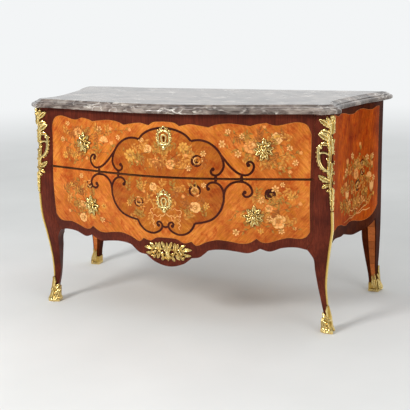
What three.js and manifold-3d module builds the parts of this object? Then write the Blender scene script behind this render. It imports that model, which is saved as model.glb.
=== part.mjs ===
// Commode chest: a serpentine, swelling case on cabriole legs with a marble top, two
// drawers whose fronts hide the rails between and below them, and gilt cast mounts.
// Millimetres, +Z up, front towards -Y, origin on the floor under the middle of the top.

import * as THREE from 'three';
import { mergeVertices } from 'three/addons/utils/BufferGeometryUtils.js';
import Module from 'manifold-3d';

const wasm = await Module();
wasm.setup();

// Overall sizes
const overallWidth = 1476;
const overallDepth = 777;
const overallHeight = 880;
const topThickness = 32;
const frontOverhang = 18.5;
const sideOverhang = 35;
const backOverhang = 14;
const fitGap = 0.3;
const cutOverrun = 40;

const bodyHeight = overallHeight - topThickness;
const bodyTop = bodyHeight - fitGap;
const bodyBack = overallDepth / 2 - backOverhang;
const bodyBackHalf = overallWidth / 2 - sideOverhang;

// Curve of the front: the bow in plan, and how far it draws back above and below the belly
const frontBow = 120;
const bowBlendShare = 0.516;
const bellyDrop = 68;
const topRecess = 14;
const topRecessRise = 200;
const footRecess = 36;
const footRecessDrop = 290;
const footRecessPower = 1.6;
const bellyY = frontOverhang - overallDepth / 2;

// Front corner: the arris of post and leg, swinging about a line over the feet
const cornerInset = 91;
const cornerSetback = 173;
const legSwing = 20;
const cornerHalf = bodyBackHalf - cornerInset;
const cornerY = cornerSetback - overallDepth / 2;
// height as a share of the body, then out and back as shares of the swing
const arrisShares = [
  [0, 0.15, 0.15],
  [0.024, 0, 0.3],
  [0.071, -0.3, 0.6],
  [0.137, -0.65, 0.65],
  [0.224, -0.85, 0.15],
  [0.295, -0.65, -0.2],
  [0.38, -0.2, -0.7],
  [0.441, 0.2, -1.1],
  [0.489, 0.45, -1.2],
  [0.554, 0.45, -1.45],
  [0.613, 0.4, -1.6],
  [0.72, 0.25, -1.5],
  [0.841, 0.1, -1.15],
  [0.943, 0.15, -1.3],
  [1, 0.2, -1.4],
];

// Side: how the plan flares to the back, and how the back arris swings
const sideFlareShares = [[0, 0], [0.15, -0.13], [0.35, -0.04], [0.6, 0.33], [0.8, 0.8], [1, 1]];
const backArrisShares = [[0, 0.7], [0.048, 0.3], [0.116, 0], [0.2, 0.1], [0.348, 0.2], [0.74, 0],
  [1, -0.05]];

// Drawer fronts, which meet at a share of the height between the knees and the marble
const postFaceWidth = 65;
const kneeWidth = 86;
const apronHeight = 336;
const apronDrop = 88;
const kneeRise = 49;
const meetingShare = 0.482;
const drawerSideGap = 1;
const drawerFrontGap = 3;
const frontTopGap = 3.2;
const frontThickness = 26;
const drawerHalf = cornerHalf - postFaceWidth;
const kneeTipHalf = cornerHalf - kneeWidth - drawerSideGap;
const kneeTopHeight = apronHeight + kneeRise;
const meetingHeight = kneeTopHeight + (bodyTop - kneeTopHeight) * meetingShare;
const bellyHeight = meetingHeight - bellyDrop;
const upperFrontBottom = meetingHeight + drawerFrontGap / 2;
const upperFrontTop = bodyTop - frontTopGap;
const lowerFrontTop = meetingHeight - drawerFrontGap / 2;
// half of the apron's lower edge, one table between each pair of cusps:
// across as a share of the knee tip's half width, down as a share of the drop
const apronShares = [
  [[-0.114, 0.83], [0, 1], [0.114, 0.83], [0.181, 0.52]],
  [[0.181, 0.52], [0.238, 0.466], [0.27, 0.33], [0.31, 0.125], [0.41, 0.057],
    [0.509, 0.125], [0.59, 0.193], [0.648, 0.08], [0.676, -0.023]],
  [[0.676, -0.023], [0.743, 0.102], [0.829, -0.068], [0.928, -0.102], [1, 0]],
];
const apronColumns = [4, 11, 6];
const upperFrontColumns = 40;
const frontRows = 6;

// Posts and legs
const kneeDepth = 55;
const soleThickness = 5.5;
const legRearTaper = 4;
const legFaceSkew = 6;
// inner edge of the leg: height share of the apron, inwards as a share of the knee's width
const legInnerShares = [[0, 0.33], [0.19, 0.34], [0.345, 0.465], [0.5, 0.57], [0.745, 0.69],
  [0.887, 0.74], [0.952, 0.87], [1, 1]];
const legDepthShares = [[0, 0.51], [0.18, 0.49], [0.345, 0.51], [0.565, 0.6], [0.745, 0.69], [0.893, 0.78],
  [1, 1]];
const frontFaceSteps = 4;
const sideFaceSteps = 3;
const cheekSwell = 2;
const backPostWidth = 68;
const backPostDepth = 75;
const backInnerShares = [[0, 0.456], [0.19, 0.53], [0.475, 0.78], [0.7, 0.956], [0.85, 1], [1, 1]];
const backDepthShares = [[0, 0.507], [0.21, 0.467], [0.475, 0.6], [0.8, 0.8], [1, 1]];
const legStations = 14;
const kneeStations = 3;
const postStations = 10;

// Side panels
const panelThickness = 18;
const sideApronShares = [
  [[0, 0.01], [0.16, -0.09], [0.323, 0.02]],
  [[0.323, 0.02], [0.365, 0.03], [0.407, -0.01]],
  [[0.407, -0.01], [0.58, 0.24], [0.69, 0.25], [0.85, 0.125], [1, -0.1]],
];
const sideApronColumns = [5, 3, 9];
const panelRows = 6;

// Rails and boards
const railThickness = 20;
const railFrontGap = 0.6;
const railColumns = 22;
const topRailThickness = 22;
const topBackRailDepth = 60;
const bearerWidth = 60;
const bottomRailRise = 9;
const backPanelThickness = 10;
const backPanelInset = 2;
const backRailHeight = 50;
const backRailThickness = 18;
const caseBoardThickness = 8;
const caseBoardSteps = 12;
const caseBoardGap = 0.9;
const runnerWidth = 44;
const guideWidth = 16.5;
const guideHeight = 25;
const bottomRailBottom = apronHeight + bottomRailRise;
const drawerRailBottom = meetingHeight - railThickness / 2;

// Drawer boxes
const drawerSideThickness = 12;
const drawerSideClearance = 1.5;
const drawerRearClearance = 16;
const drawerBottomRise = 6;
const drawerBottomThickness = 8;
const drawerTopClearance = 15.4;
const drawerBackDrop = 10;
const sideRows = 6;

// Locks
const lockWidth = 76;
const lockHeight = 100;
const lockDepth = 15;
const lockTopDrop = 5;
const boltWidth = 24;
const boltThickness = 5;
const boltLength = 34;
const boltWall = 5;
const boltPlay = 0.5;
const boltRise = 1;
const boltStroke = 9;
const mortisePlay = 2;
const mortiseDepth = boltStroke + boltRise - lockTopDrop + mortisePlay;
const keyholeRadius = 4.2;
const keyholeSlotWidth = 4.4;
const keyholeSlotDrop = 14;
const keyholeSegments = 8;
const upperKeyholeDrop = 65;
const lowerKeyholeDrop = 76;

// Marble top
const earReach = 85;
// front ear and side of the top: out and back from the corner as shares of the ear's reach
const earShares = [[-0.75, -0.83], [-0.56, -0.93], [-0.4, -0.99], [-0.2, -0.84], [0.22, -0.38],
  [0.33, -0.18], [0.27, 0.1], [0.1, 0.5]];
// then back as a share of the depth behind the corner, out as a share of the flare
const topFlareShares = [[0.16, 0.03], [0.31, 0.14], [0.45, 0.29], [0.6, 0.46], [0.8, 0.8], [0.925, 0.97]];
const earLead = 92;
const topFrontSteps = 11;
const topSideSteps = 26;
// edge moulding from the underside up: height and inset as shares of the thickness
const topEdgeShares = [[0, 0.34], [0.19, 0.12], [0.44, 0], [0.62, 0.04], [0.72, 0.22], [0.86, 0.26],
  [1, 0.4]];

// Cast mounts
const mountGap = 0.5;
const cornerMountTopDrop = 4.7;
const cornerMountHeight = 355;
const cornerMountWidth = 56;
const cornerMountSideWidth = 13;
const cornerMountRelief = 9;
const cornerMountStations = 30;
// height share up the mount, width share on the front face
const cornerMountShares = [[0, 0.27], [0.08, 0.3], [0.165, 0.57], [0.2, 0.43], [0.265, 0.7], [0.31, 0.92],
  [0.37, 0.86], [0.44, 0.98], [0.555, 0.96], [0.66, 0.79], [0.715, 0.92], [0.775, 0.74], [0.85, 0.72],
  [0.945, 0.84], [1, 0.3]];
// across share of the local width, relief share of the mount's relief
const cornerMountSectionShares = [[1, 0.3], [0.78, 0.8], [0.52, 0.4], [0.22, 1]];
// openings: height share, across share of the width, half height and half width shares
const cornerMountOpeningShares = [[0.5, 0.52, 0.066, 0.1], [0.82, 0.52, 0.025, 0.08]];
const openingSides = 12;
const filletWidthTop = 9;
const filletWidthFoot = 5;
const filletRelief = 2.5;
const sabotGap = 0.8;
const sabotHeight = 62;
const sabotLeafHeight = 112;
const sabotWall = 6;
// height share, outward share of the wall
const sabotProfileShares = [[0, 1.1], [0.1, 1.5], [0.24, 1.2], [0.36, 0.75], [0.62, 0.85], [1, 0.45]];
const sabotInnerShares = [1, 0.75, 0.5, 0.25];
const pullHalfHeight = 45;
const pullHalfWidth = 39;
const pullRelief = 24;
const pullLeaves = 7;
const pullLeafDepthShare = 0.3;
const pullPoints = 42;
// place of a pull: across as a share of the front's half width, up as a share of its height
const upperPullShares = [0.6764, 0.453];
const lowerPullShares = [0.6161, 0.37];
const escutcheonHalfWidth = 36;
const escutcheonHalfHeight = 47;
const escutcheonRelief = 6;
// radius share round the escutcheon from the top, by sixteenths of half a turn
const escutcheonShares = [1, 0.93, 0.72, 0.83, 0.95, 0.9, 0.98, 0.86, 0.72, 0.7, 0.9, 1];
const apronMountHalfWidth = 100;
const apronMountDrop = 22;
const apronMountHalfHeight = 43;
const apronMountRelief = 10;
const apronMountShares = [1, 0.9, 1, 0.72, 0.8, 0.66, 0.95, 1, 0.8, 0.95, 0.74, 0.86, 1];
const castPointsPerShare = 2;

// Colours of the finished surfaces
const kingwood = 0x3f1a12;
const tulipwood = 0xc1692c;
const sideVeneer = 0xa8501f;
const oak = 0xb08a5a;
const marble = 0x9a9296;
const gilt = 0xc9a455;
const steel = 0x8a8880;

function finish(colour, roughness, metalness = 0) {
  return new THREE.MeshStandardMaterial({ color: colour, roughness, metalness });
}

// A smooth curve through rows [place, value]; its slopes come from the neighbouring rows.
function smoothTable(rows, column = 1) {
  const last = rows.length - 1;
  const slopes = rows.map((row, i) => {
    const before = rows[Math.max(i - 1, 0)];
    const after = rows[Math.min(i + 1, last)];
    return (after[column] - before[column]) / (after[0] - before[0]);
  });
  return (place) => {
    let i = 0;
    while (i < last - 1 && place > rows[i + 1][0]) i += 1;
    const span = rows[i + 1][0] - rows[i][0];
    const t = THREE.MathUtils.clamp((place - rows[i][0]) / span, 0, 1);
    const rise = t * t * (3 - 2 * t);
    const startPull = t * (1 - t) * (1 - t) * slopes[i] * span;
    const endPull = t * t * (t - 1) * slopes[i + 1] * span;
    return rows[i][column] * (1 - rise) + rows[i + 1][column] * rise + startPull + endPull;
  };
}

// A scalloped edge: one smooth table between each pair of cusps.
function scallop(tables) {
  const curves = tables.map((rows) => smoothTable(rows));
  const ends = tables.map((rows) => rows[rows.length - 1][0]);
  return (share) => {
    const found = ends.findIndex((end) => share <= end);
    return curves[found < 0 ? curves.length - 1 : found](share);
  };
}

// Places along a scalloped edge from zero to one, with every cusp among them.
function scallopStops(tables, counts) {
  const stops = [0];
  tables.forEach((rows, i) => {
    const start = Math.max(rows[0][0], 0);
    const end = rows[rows.length - 1][0];
    for (let step = 1; step <= counts[i]; step += 1) {
      stops.push(start + (end - start) * step / counts[i]);
    }
  });
  return stops;
}

function steps(start, end, count) {
  return Array.from({ length: count + 1 }, (unused, i) => start + (end - start) * i / count);
}

// The curved surfaces of the case

function bow(x) {
  const t = Math.abs(x) / cornerHalf;
  return frontBow * (bowBlendShare * t * t * (3 - 2 * t) + (1 - bowBlendShare) * t * t);
}

function recess(z) {
  if (z > bellyHeight) {
    return topRecess * THREE.MathUtils.smoothstep(z, bellyHeight, bellyHeight + topRecessRise);
  }
  return footRecess * Math.pow((bellyHeight - z) / footRecessDrop, footRecessPower);
}

const frontY = (x, z) => bellyY + bow(x) + recess(z);

const arrisOut = smoothTable(arrisShares, 1);
const arrisBack = smoothTable(arrisShares, 2);
const arrisX = (z) => cornerHalf + legSwing * arrisOut(z / bodyHeight);
const arrisY = (z) => cornerY + legSwing * arrisBack(z / bodyHeight);

const sideFlare = smoothTable(sideFlareShares);
const backArris = smoothTable(backArrisShares);

function sideX(y, z) {
  const backX = bodyBackHalf + legSwing * backArris(z / bodyHeight);
  const t = (y - arrisY(z)) / (bodyBack - arrisY(z));
  return arrisX(z) + (backX - arrisX(z)) * sideFlare(t);
}

// Closed solids from points and triangles

function solid(points, triangles) {
  const geometry = new THREE.BufferGeometry();
  geometry.setAttribute('position', new THREE.Float32BufferAttribute(points.flat(), 3));
  geometry.setIndex(triangles.flat());
  geometry.computeVertexNormals();
  return geometry;
}

function mirrored(geometry) {
  const copy = geometry.clone();
  copy.deleteAttribute('normal');
  copy.deleteAttribute('uv');
  const merged = mergeVertices(copy);
  merged.scale(-1, 1, 1);
  const index = Array.from(merged.index.array);
  for (let i = 0; i < index.length; i += 3) {
    [index[i + 1], index[i + 2]] = [index[i + 2], index[i + 1]];
  }
  merged.setIndex(index);
  merged.computeVertexNormals();
  return merged;
}

function capTriangles(ring, offset, up) {
  const outline = ring.map((point) => new THREE.Vector2(point[0], point[1]));
  const faces = THREE.ShapeUtils.triangulateShape(outline, []);
  return faces.map(([a, b, c]) => (up ? [a, b, c] : [a, c, b]).map((i) => i + offset));
}

// Rings run anticlockwise seen from above; the first cap faces down and the last faces up.
function loft(rings) {
  const count = rings[0].length;
  const triangles = capTriangles(rings[0], 0, false);
  for (let level = 0; level < rings.length - 1; level += 1) {
    for (let i = 0; i < count; i += 1) {
      const next = (i + 1) % count;
      const low = level * count;
      const high = low + count;
      triangles.push([low + i, low + next, high + next], [low + i, high + next, high + i]);
    }
  }
  const lastRing = rings.length - 1;
  triangles.push(...capTriangles(rings[lastRing], lastRing * count, true));
  return solid(rings.flat(), triangles);
}

// A curved board: columns run along it, rows climb from the low edge to the high edge.
function curvedBoard(columns, rowCount, low, high, outer, inner) {
  const points = [];
  const side = columns.length * (rowCount + 1);
  [outer, inner].forEach((surface) => {
    columns.forEach((place) => {
      steps(low(place), high(place), rowCount).forEach((z) => points.push(surface(place, z)));
    });
  });
  const at = (column, row) => column * (rowCount + 1) + row;
  const triangles = [];
  const quad = (a, b, c, d) => triangles.push([a, b, c], [a, c, d]);
  for (let c = 0; c < columns.length - 1; c += 1) {
    for (let r = 0; r < rowCount; r += 1) {
      const corners = [at(c, r), at(c + 1, r), at(c + 1, r + 1), at(c, r + 1)];
      quad(...corners);
      quad(...corners.reverse().map((i) => i + side));
    }
    quad(at(c, 0), at(c, 0) + side, at(c + 1, 0) + side, at(c + 1, 0));
    quad(at(c + 1, rowCount), at(c + 1, rowCount) + side, at(c, rowCount) + side, at(c, rowCount));
  }
  const end = columns.length - 1;
  for (let r = 0; r < rowCount; r += 1) {
    quad(at(0, r + 1), at(0, r + 1) + side, at(0, r) + side, at(0, r));
    quad(at(end, r), at(end, r) + side, at(end, r + 1) + side, at(end, r + 1));
  }
  return solid(points, triangles);
}

function shapeOf(points) {
  return new THREE.Shape(points.map(([a, b]) => new THREE.Vector2(a, b)));
}

// A flat board cut to an outline seen from above.
function planBoard(points, bottom, thickness) {
  const geometry = new THREE.ExtrudeGeometry(shapeOf(points), { depth: thickness, bevelEnabled: false });
  return geometry.translate(0, 0, bottom);
}

// A flat upright board whose outline is drawn in depth and height.
function sideBoard(points, left, thickness) {
  const geometry = new THREE.ExtrudeGeometry(shapeOf(points), { depth: thickness, bevelEnabled: false });
  const turned = new THREE.Matrix4().makeBasis(
    new THREE.Vector3(0, 1, 0),
    new THREE.Vector3(0, 0, 1),
    new THREE.Vector3(1, 0, 0),
  );
  return geometry.applyMatrix4(turned).translate(left, 0, 0);
}

// Boolean cuts

function toManifold(geometry) {
  const bare = new THREE.BufferGeometry();
  bare.setAttribute('position', geometry.getAttribute('position').clone());
  if (geometry.index) bare.setIndex(geometry.index.clone());
  const merged = mergeVertices(bare);
  return new wasm.Manifold(new wasm.Mesh({
    numProp: 3,
    vertProperties: new Float32Array(merged.getAttribute('position').array),
    triVerts: new Uint32Array(merged.index.array),
  }));
}

function fromManifold(body) {
  const mesh = body.getMesh();
  const geometry = new THREE.BufferGeometry();
  geometry.setAttribute('position', new THREE.BufferAttribute(mesh.vertProperties, 3));
  geometry.setIndex(new THREE.BufferAttribute(mesh.triVerts, 1));
  geometry.computeVertexNormals();
  return geometry;
}

function cutAway(geometry, cutters) {
  const cut = cutters.reduce((body, cutter) => body.subtract(toManifold(cutter)), toManifold(geometry));
  return fromManifold(cut);
}

function boxAt(left, right, front, back, bottom, top) {
  const geometry = new THREE.BoxGeometry(right - left, back - front, top - bottom);
  return geometry.translate((left + right) / 2, (front + back) / 2, (bottom + top) / 2);
}

// Front posts with their legs

const postInner = drawerHalf + drawerSideGap;
const kneeRear = arrisY(apronHeight) + kneeDepth;
const legInner = smoothTable(legInnerShares);
const legDepth = smoothTable(legDepthShares);

function innerEdgeX(z) {
  if (z >= kneeTopHeight) return postInner;
  if (z < apronHeight) return cornerHalf - kneeWidth * legInner(z / apronHeight);
  const tip = cornerHalf - kneeWidth;
  return tip + (postInner - tip) * (z - apronHeight) / (kneeTopHeight - apronHeight);
}

function rearY(z) {
  return z >= apronHeight ? kneeRear : arrisY(z) + kneeDepth * legDepth(z / apronHeight);
}

function lerpPoint(a, b, t) {
  return [a[0] + (b[0] - a[0]) * t, a[1] + (b[1] - a[1]) * t];
}

// Section of the right front post at one height, anticlockwise from its inner front edge.
function frontPostSection(z) {
  const innerX = innerEdgeX(z);
  const arris = [arrisX(z), arrisY(z)];
  const inner = [innerX, Math.min(frontY(innerX, z), arris[1] + legFaceSkew)];
  const rear = rearY(z);
  const innerRear = [Math.max(innerX + legRearTaper, postInner), rear];
  const section = [];
  for (let i = 0; i < frontFaceSteps; i += 1) {
    const share = i / frontFaceSteps;
    const [x, y] = lerpPoint(inner, arris, share);
    section.push([x, y - cheekSwell * 4 * share * (1 - share)]);
  }
  for (let i = 0; i <= sideFaceSteps; i += 1) {
    const y = arris[1] + (rear - arris[1]) * i / sideFaceSteps;
    section.push([sideX(y, z), y]);
  }
  section.push(innerRear);
  return section;
}

const arrisIndex = frontFaceSteps;
const backArrisIndex = 1;
const legBottom = soleThickness + fitGap;
const postHeights = [
  ...steps(legBottom, apronHeight, legStations),
  ...steps(apronHeight, kneeTopHeight, kneeStations).slice(1),
  ...steps(kneeTopHeight, bodyTop, postStations).slice(1),
];

// The section as the faceted post has it, between two of the heights it was lofted through.
function sectionBetween(sectionAt, z) {
  let i = 0;
  while (i < postHeights.length - 2 && z > postHeights[i + 1]) i += 1;
  const t = Math.max((z - postHeights[i]) / (postHeights[i + 1] - postHeights[i]), 0);
  const low = sectionAt(postHeights[i]);
  const high = sectionAt(postHeights[i + 1]);
  return low.map((point, k) => lerpPoint(point, high[k], t));
}

const withHeight = (section, z) => section.map(([x, y]) => [x, y, z]);

function post(sectionAt) {
  return loft(postHeights.map((z) => withHeight(sectionAt(z), z)));
}

// Back posts with their legs

const backInner = smoothTable(backInnerShares);
const backDepth = smoothTable(backDepthShares);
const backPostInner = bodyBackHalf - backPostWidth;
const backPostFront = bodyBack - backPostDepth;

function backPostSection(z) {
  const share = Math.min(z / apronHeight, 1);
  const innerX = bodyBackHalf - backPostWidth * backInner(share);
  const front = bodyBack - backPostDepth * backDepth(share);
  const side = steps(front, bodyBack, sideFaceSteps).map((y) => [sideX(y, z), y]);
  return [[innerX, front], ...side, [innerX, bodyBack]];
}

// Side panels

const sideApron = scallop(sideApronShares);

function sidePanel() {
  const front = kneeRear + fitGap;
  const back = backPostFront - fitGap;
  const stops = scallopStops(sideApronShares, sideApronColumns);
  const columns = stops.map((share) => front + (back - front) * share);
  const low = (y) => apronHeight - apronDrop * sideApron((y - front) / (back - front));
  return curvedBoard(
    columns,
    panelRows,
    low,
    () => bodyTop,
    (y, z) => [sideX(y, z), y, z],
    (y, z) => [sideX(y, z) - panelThickness, y, z],
  );
}

// Marble top

function topOutlineHalf() {
  const flare = bodyBackHalf + sideOverhang - cornerHalf;
  const depth = overallDepth / 2 - cornerY;
  const earStart = cornerHalf - earLead;
  const front = steps(0, earStart, topFrontSteps).map((x) => [x, bellyY - frontOverhang + bow(x)]);
  const ear = earShares.map(([out, back]) => [cornerHalf + earReach * out, cornerY + earReach * back]);
  const side = topFlareShares.map(([back, out]) => [cornerHalf + flare * out, cornerY + depth * back]);
  const corner = [overallWidth / 2, overallDepth / 2];
  const lead = front[front.length - 1];
  const places = [lead, ...ear, ...side, corner].map(([x, y]) => new THREE.Vector2(x, y));
  const curve = new THREE.SplineCurve(places);
  const drawn = curve.getSpacedPoints(topSideSteps).slice(1).map((point) => [point.x, point.y]);
  return [...front, ...drawn];
}

// Moves every point of a closed outline inwards along the mean of its two edges' normals.
function insetOutline(points, inset) {
  return points.map((point, i) => {
    const before = points[(i + points.length - 1) % points.length];
    const after = points[(i + 1) % points.length];
    const a = new THREE.Vector2(point[0] - before[0], point[1] - before[1]).normalize();
    const b = new THREE.Vector2(after[0] - point[0], after[1] - point[1]).normalize();
    const normal = new THREE.Vector2(-a.y - b.y, a.x + b.x).normalize();
    const reach = inset / Math.max(normal.dot(new THREE.Vector2(-a.y, a.x)), 0.5);
    return [point[0] + normal.x * reach, point[1] + normal.y * reach];
  });
}

function marbleTop() {
  const half = topOutlineHalf();
  const left = half.slice(1).reverse().map(([x, y]) => [-x, y]);
  const outline = [...half, ...left];
  return loft(topEdgeShares.map(([height, inset]) => {
    const ring = insetOutline(outline, inset * topThickness);
    const backed = ring.map(([x, y], i) => [x, outline[i][1] === overallDepth / 2 ? outline[i][1] : y]);
    return withHeight(backed, bodyHeight + height * topThickness);
  }));
}

// Drawer fronts

const apron = scallop(apronShares);

function lowerFrontEdge(x) {
  const across = Math.abs(x);
  if (across <= kneeTipHalf) return apronHeight - apronDrop * apron(across / kneeTipHalf);
  return apronHeight + (kneeTopHeight - apronHeight) * (across - kneeTipHalf) / (drawerHalf - kneeTipHalf);
}

function keyholeCutter(height, front, back) {
  const shape = new THREE.Shape();
  const slot = keyholeSlotWidth / 2;
  const start = -Math.acos(slot / keyholeRadius);
  shape.moveTo(-slot, -keyholeSlotDrop);
  shape.lineTo(slot, -keyholeSlotDrop);
  shape.lineTo(slot, keyholeRadius * Math.sin(start));
  shape.absarc(0, 0, keyholeRadius, start, Math.PI - start, false);
  shape.lineTo(-slot, -keyholeSlotDrop);
  const settings = { depth: back - front, bevelEnabled: false, curveSegments: keyholeSegments };
  const geometry = new THREE.ExtrudeGeometry(shape, settings);
  return geometry.rotateX(Math.PI / 2).translate(0, back, height);
}

function drawerFront(columns, low, top, keyholeHeight) {
  const board = curvedBoard(
    columns,
    frontRows,
    low,
    () => top,
    (x, z) => [x, frontY(x, z), z],
    (x, z) => [x, frontY(x, z) + frontThickness, z],
  );
  const front = frontY(0, keyholeHeight) - cutOverrun;
  return cutAway(board, [keyholeCutter(keyholeHeight, front, front + frontThickness + 2 * cutOverrun)]);
}

function upperFront() {
  return drawerFront(
    steps(-drawerHalf, drawerHalf, upperFrontColumns),
    () => upperFrontBottom,
    upperFrontTop,
    upperLock.keyholeHeight,
  );
}

function lowerFront() {
  const half = scallopStops(apronShares, apronColumns).map((share) => share * kneeTipHalf);
  const right = [...half, drawerHalf];
  const columns = [...right.slice(1).reverse().map((x) => -x), ...right];
  return drawerFront(columns, lowerFrontEdge, lowerFrontTop, lowerLock.keyholeHeight);
}

// Rails and boards of the case

// Largest depth that the inner faces of the fronts reach at one place across, between two heights.
function innerFaceY(x, bottom, top) {
  return Math.max(frontY(x, bottom), frontY(x, top)) + frontThickness;
}

function frontRail(bottom, thickness) {
  const top = bottom + thickness;
  const inner = sectionBetween(frontPostSection, bottom);
  const frontCorner = inner[0];
  const rearCorner = inner[inner.length - 1];
  const edgeX = (y) => {
    const t = (y - frontCorner[1]) / (rearCorner[1] - frontCorner[1]);
    return frontCorner[0] + (rearCorner[0] - frontCorner[0]) * t - 2 * fitGap;
  };
  const endY = innerFaceY(frontCorner[0], bottom, top) + railFrontGap;
  const reach = edgeX(endY);
  const front = steps(-reach, reach, railColumns).map((x) => [x, innerFaceY(x, bottom, top) + railFrontGap]);
  const rear = [[postInner - fitGap, kneeRear], [fitGap - postInner, kneeRear]];
  return planBoard([...front, ...rear], bottom, thickness);
}

// A board across the whole case, notched round the back posts and bowed in along the sides.
function caseBoard(bottom, rear) {
  const top = bottom + caseBoardThickness;
  const front = kneeRear + fitGap;
  const notchFront = backPostFront - fitGap;
  const notchX = backPostInner - fitGap;
  const insideX = (y) => Math.min(sideX(y, bottom), sideX(y, top)) - panelThickness - caseBoardGap;
  const side = steps(front + fitGap, notchFront, caseBoardSteps).map((y) => [insideX(y), y]);
  const right = [[insideX(front + fitGap), front], ...side, [notchX, notchFront], [notchX, rear]];
  const left = right.map(([x, y]) => [-x, y]).reverse();
  return planBoard([...right, ...left], bottom, caseBoardThickness);
}

const backPanelFront = bodyBack - backPanelInset - backPanelThickness;
const backRailFront = bodyBack - backPanelInset - backRailThickness;
const topRailBottom = bodyTop - topRailThickness;
const drawerRailTop = drawerRailBottom + railThickness;
const bottomRailTop = bottomRailBottom + railThickness;
const runnerFront = kneeRear + fitGap;
const runnerOuter = postInner - fitGap;
const drawerSideOuter = runnerOuter - guideWidth - drawerSideClearance;
const drawerRear = backPanelFront - drawerRearClearance;

// Heights and depth of a lock that hangs under the rail its bolt enters.
function lockPlaces(keyholeDrop, railBottom) {
  const lockTop = railBottom - lockTopDrop;
  const lockBottom = lockTop - lockHeight;
  const keyholeHeight = lockTop - keyholeDrop;
  const corners = [lockBottom, lockTop].map((z) => frontY(lockWidth / 2, z));
  const caseFront = Math.max(...corners) + frontThickness + 2 * fitGap;
  return { lockTop, lockBottom, caseFront, keyholeHeight };
}

const upperLock = lockPlaces(upperKeyholeDrop, topRailBottom);
const lowerLock = lockPlaces(lowerKeyholeDrop, drawerRailBottom);

function boltBox(lock, play, bottom, top) {
  const front = lock.caseFront + boltWall;
  return boxAt(
    -boltWidth / 2 - play,
    boltWidth / 2 + play,
    front - play,
    front + boltThickness + play,
    bottom,
    top,
  );
}

function lockCase(lock) {
  const box = boxAt(
    -lockWidth / 2,
    lockWidth / 2,
    lock.caseFront,
    lock.caseFront + lockDepth,
    lock.lockBottom,
    lock.lockTop,
  );
  const slotBottom = lock.lockTop + boltRise - boltLength - boltPlay;
  const slot = boltBox(lock, boltPlay, slotBottom, lock.lockTop + cutOverrun);
  const front = lock.caseFront - cutOverrun;
  const keyhole = keyholeCutter(lock.keyholeHeight, front, lock.caseFront + boltWall);
  return cutAway(box, [slot, keyhole]);
}

function lockBolt(lock) {
  const top = lock.lockTop + boltRise;
  return boltBox(lock, 0, top - boltLength, top);
}

function railWithMortise(bottom, thickness, lock) {
  const mortise = boltBox(lock, mortisePlay, bottom - cutOverrun, bottom + mortiseDepth);
  return cutAway(frontRail(bottom, thickness), [mortise]);
}

// Sides and bottom of a drawer follow the inner face of its front.
function drawerSide(bottom, height) {
  const left = drawerSideOuter - drawerSideThickness;
  const face = steps(bottom, bottom + height, sideRows).map((z) => {
    return [frontY(drawerSideOuter, z) + frontThickness + 2 * fitGap, z];
  });
  const outline = [...face.reverse(), [drawerRear, bottom], [drawerRear, bottom + height]];
  return sideBoard(outline.reverse(), left, drawerSideThickness);
}

function drawerBottom(bottom) {
  const reach = drawerSideOuter - drawerSideThickness - fitGap;
  const low = bottom + drawerBottomRise;
  const face = steps(-reach, reach, railColumns).map((x) => {
    return [x, innerFaceY(x, low, low + drawerBottomThickness) + 2 * fitGap];
  });
  const rear = [[reach, drawerRear], [-reach, drawerRear]];
  return planBoard([...face, ...rear], low, drawerBottomThickness);
}

function drawerBack(bottom, height) {
  const reach = drawerSideOuter - drawerSideThickness - fitGap;
  const low = bottom + drawerBottomRise + drawerBottomThickness + fitGap;
  const front = drawerRear - drawerSideThickness;
  return boxAt(-reach, reach, front, drawerRear, low, bottom + height - drawerBackDrop);
}

// Cast mounts that lie on the bowed fronts: rings of one outline, domed, with a flat foot.
function castOnFront(centre, radius, dome, ringShares, pointCount) {
  const [centreX, centreZ] = centre;
  const points = [];
  const place = (share, i, lift) => {
    const angle = Math.PI * 2 * i / pointCount;
    const [across, up] = radius(angle);
    const x = centreX + across * share;
    const z = centreZ + up * share;
    return [x, frontY(x, z) - lift, z];
  };
  const faces = [
    (share, i) => place(share, i, mountGap + dome(share, Math.PI * 2 * i / pointCount)),
    (share, i) => place(share, i, mountGap),
  ];
  faces.forEach((face) => {
    points.push(face(0, 0));
    ringShares.forEach((share) => {
      for (let i = 0; i < pointCount; i += 1) points.push(face(share, i));
    });
  });
  const side = 1 + ringShares.length * pointCount;
  const at = (ring, i) => 1 + ring * pointCount + (i % pointCount);
  const triangles = [];
  const both = (a, b, c) => triangles.push([a, b, c], [a + side, c + side, b + side]);
  for (let i = 0; i < pointCount; i += 1) {
    both(0, at(0, i), at(0, i + 1));
    for (let ring = 0; ring < ringShares.length - 1; ring += 1) {
      both(at(ring, i), at(ring + 1, i), at(ring + 1, i + 1));
      both(at(ring, i), at(ring + 1, i + 1), at(ring, i + 1));
    }
    const rim = ringShares.length - 1;
    triangles.push([at(rim, i), at(rim, i) + side, at(rim, i + 1) + side]);
    triangles.push([at(rim, i), at(rim, i + 1) + side, at(rim, i + 1)]);
  }
  return solid(points, triangles);
}

// Angles run from the right, anticlockwise, so that the front of the casting faces the viewer.
function pull([x, z]) {
  const radius = (angle) => {
    const leaf = 1 - pullLeafDepthShare * (0.5 - 0.5 * Math.cos(angle * pullLeaves));
    return [pullHalfWidth * leaf * Math.cos(angle), pullHalfHeight * leaf * Math.sin(angle)];
  };
  const dome = (share, angle) => {
    const fold = 0.5 + 0.5 * Math.cos(angle * pullLeaves);
    return pullRelief * ((1 - share) * (1 - share) * 0.85 + 0.12 + 0.2 * fold * share * (1 - share));
  };
  return castOnFront([x, z], radius, dome, [0.3, 0.55, 0.8, 1], pullPoints);
}

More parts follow.
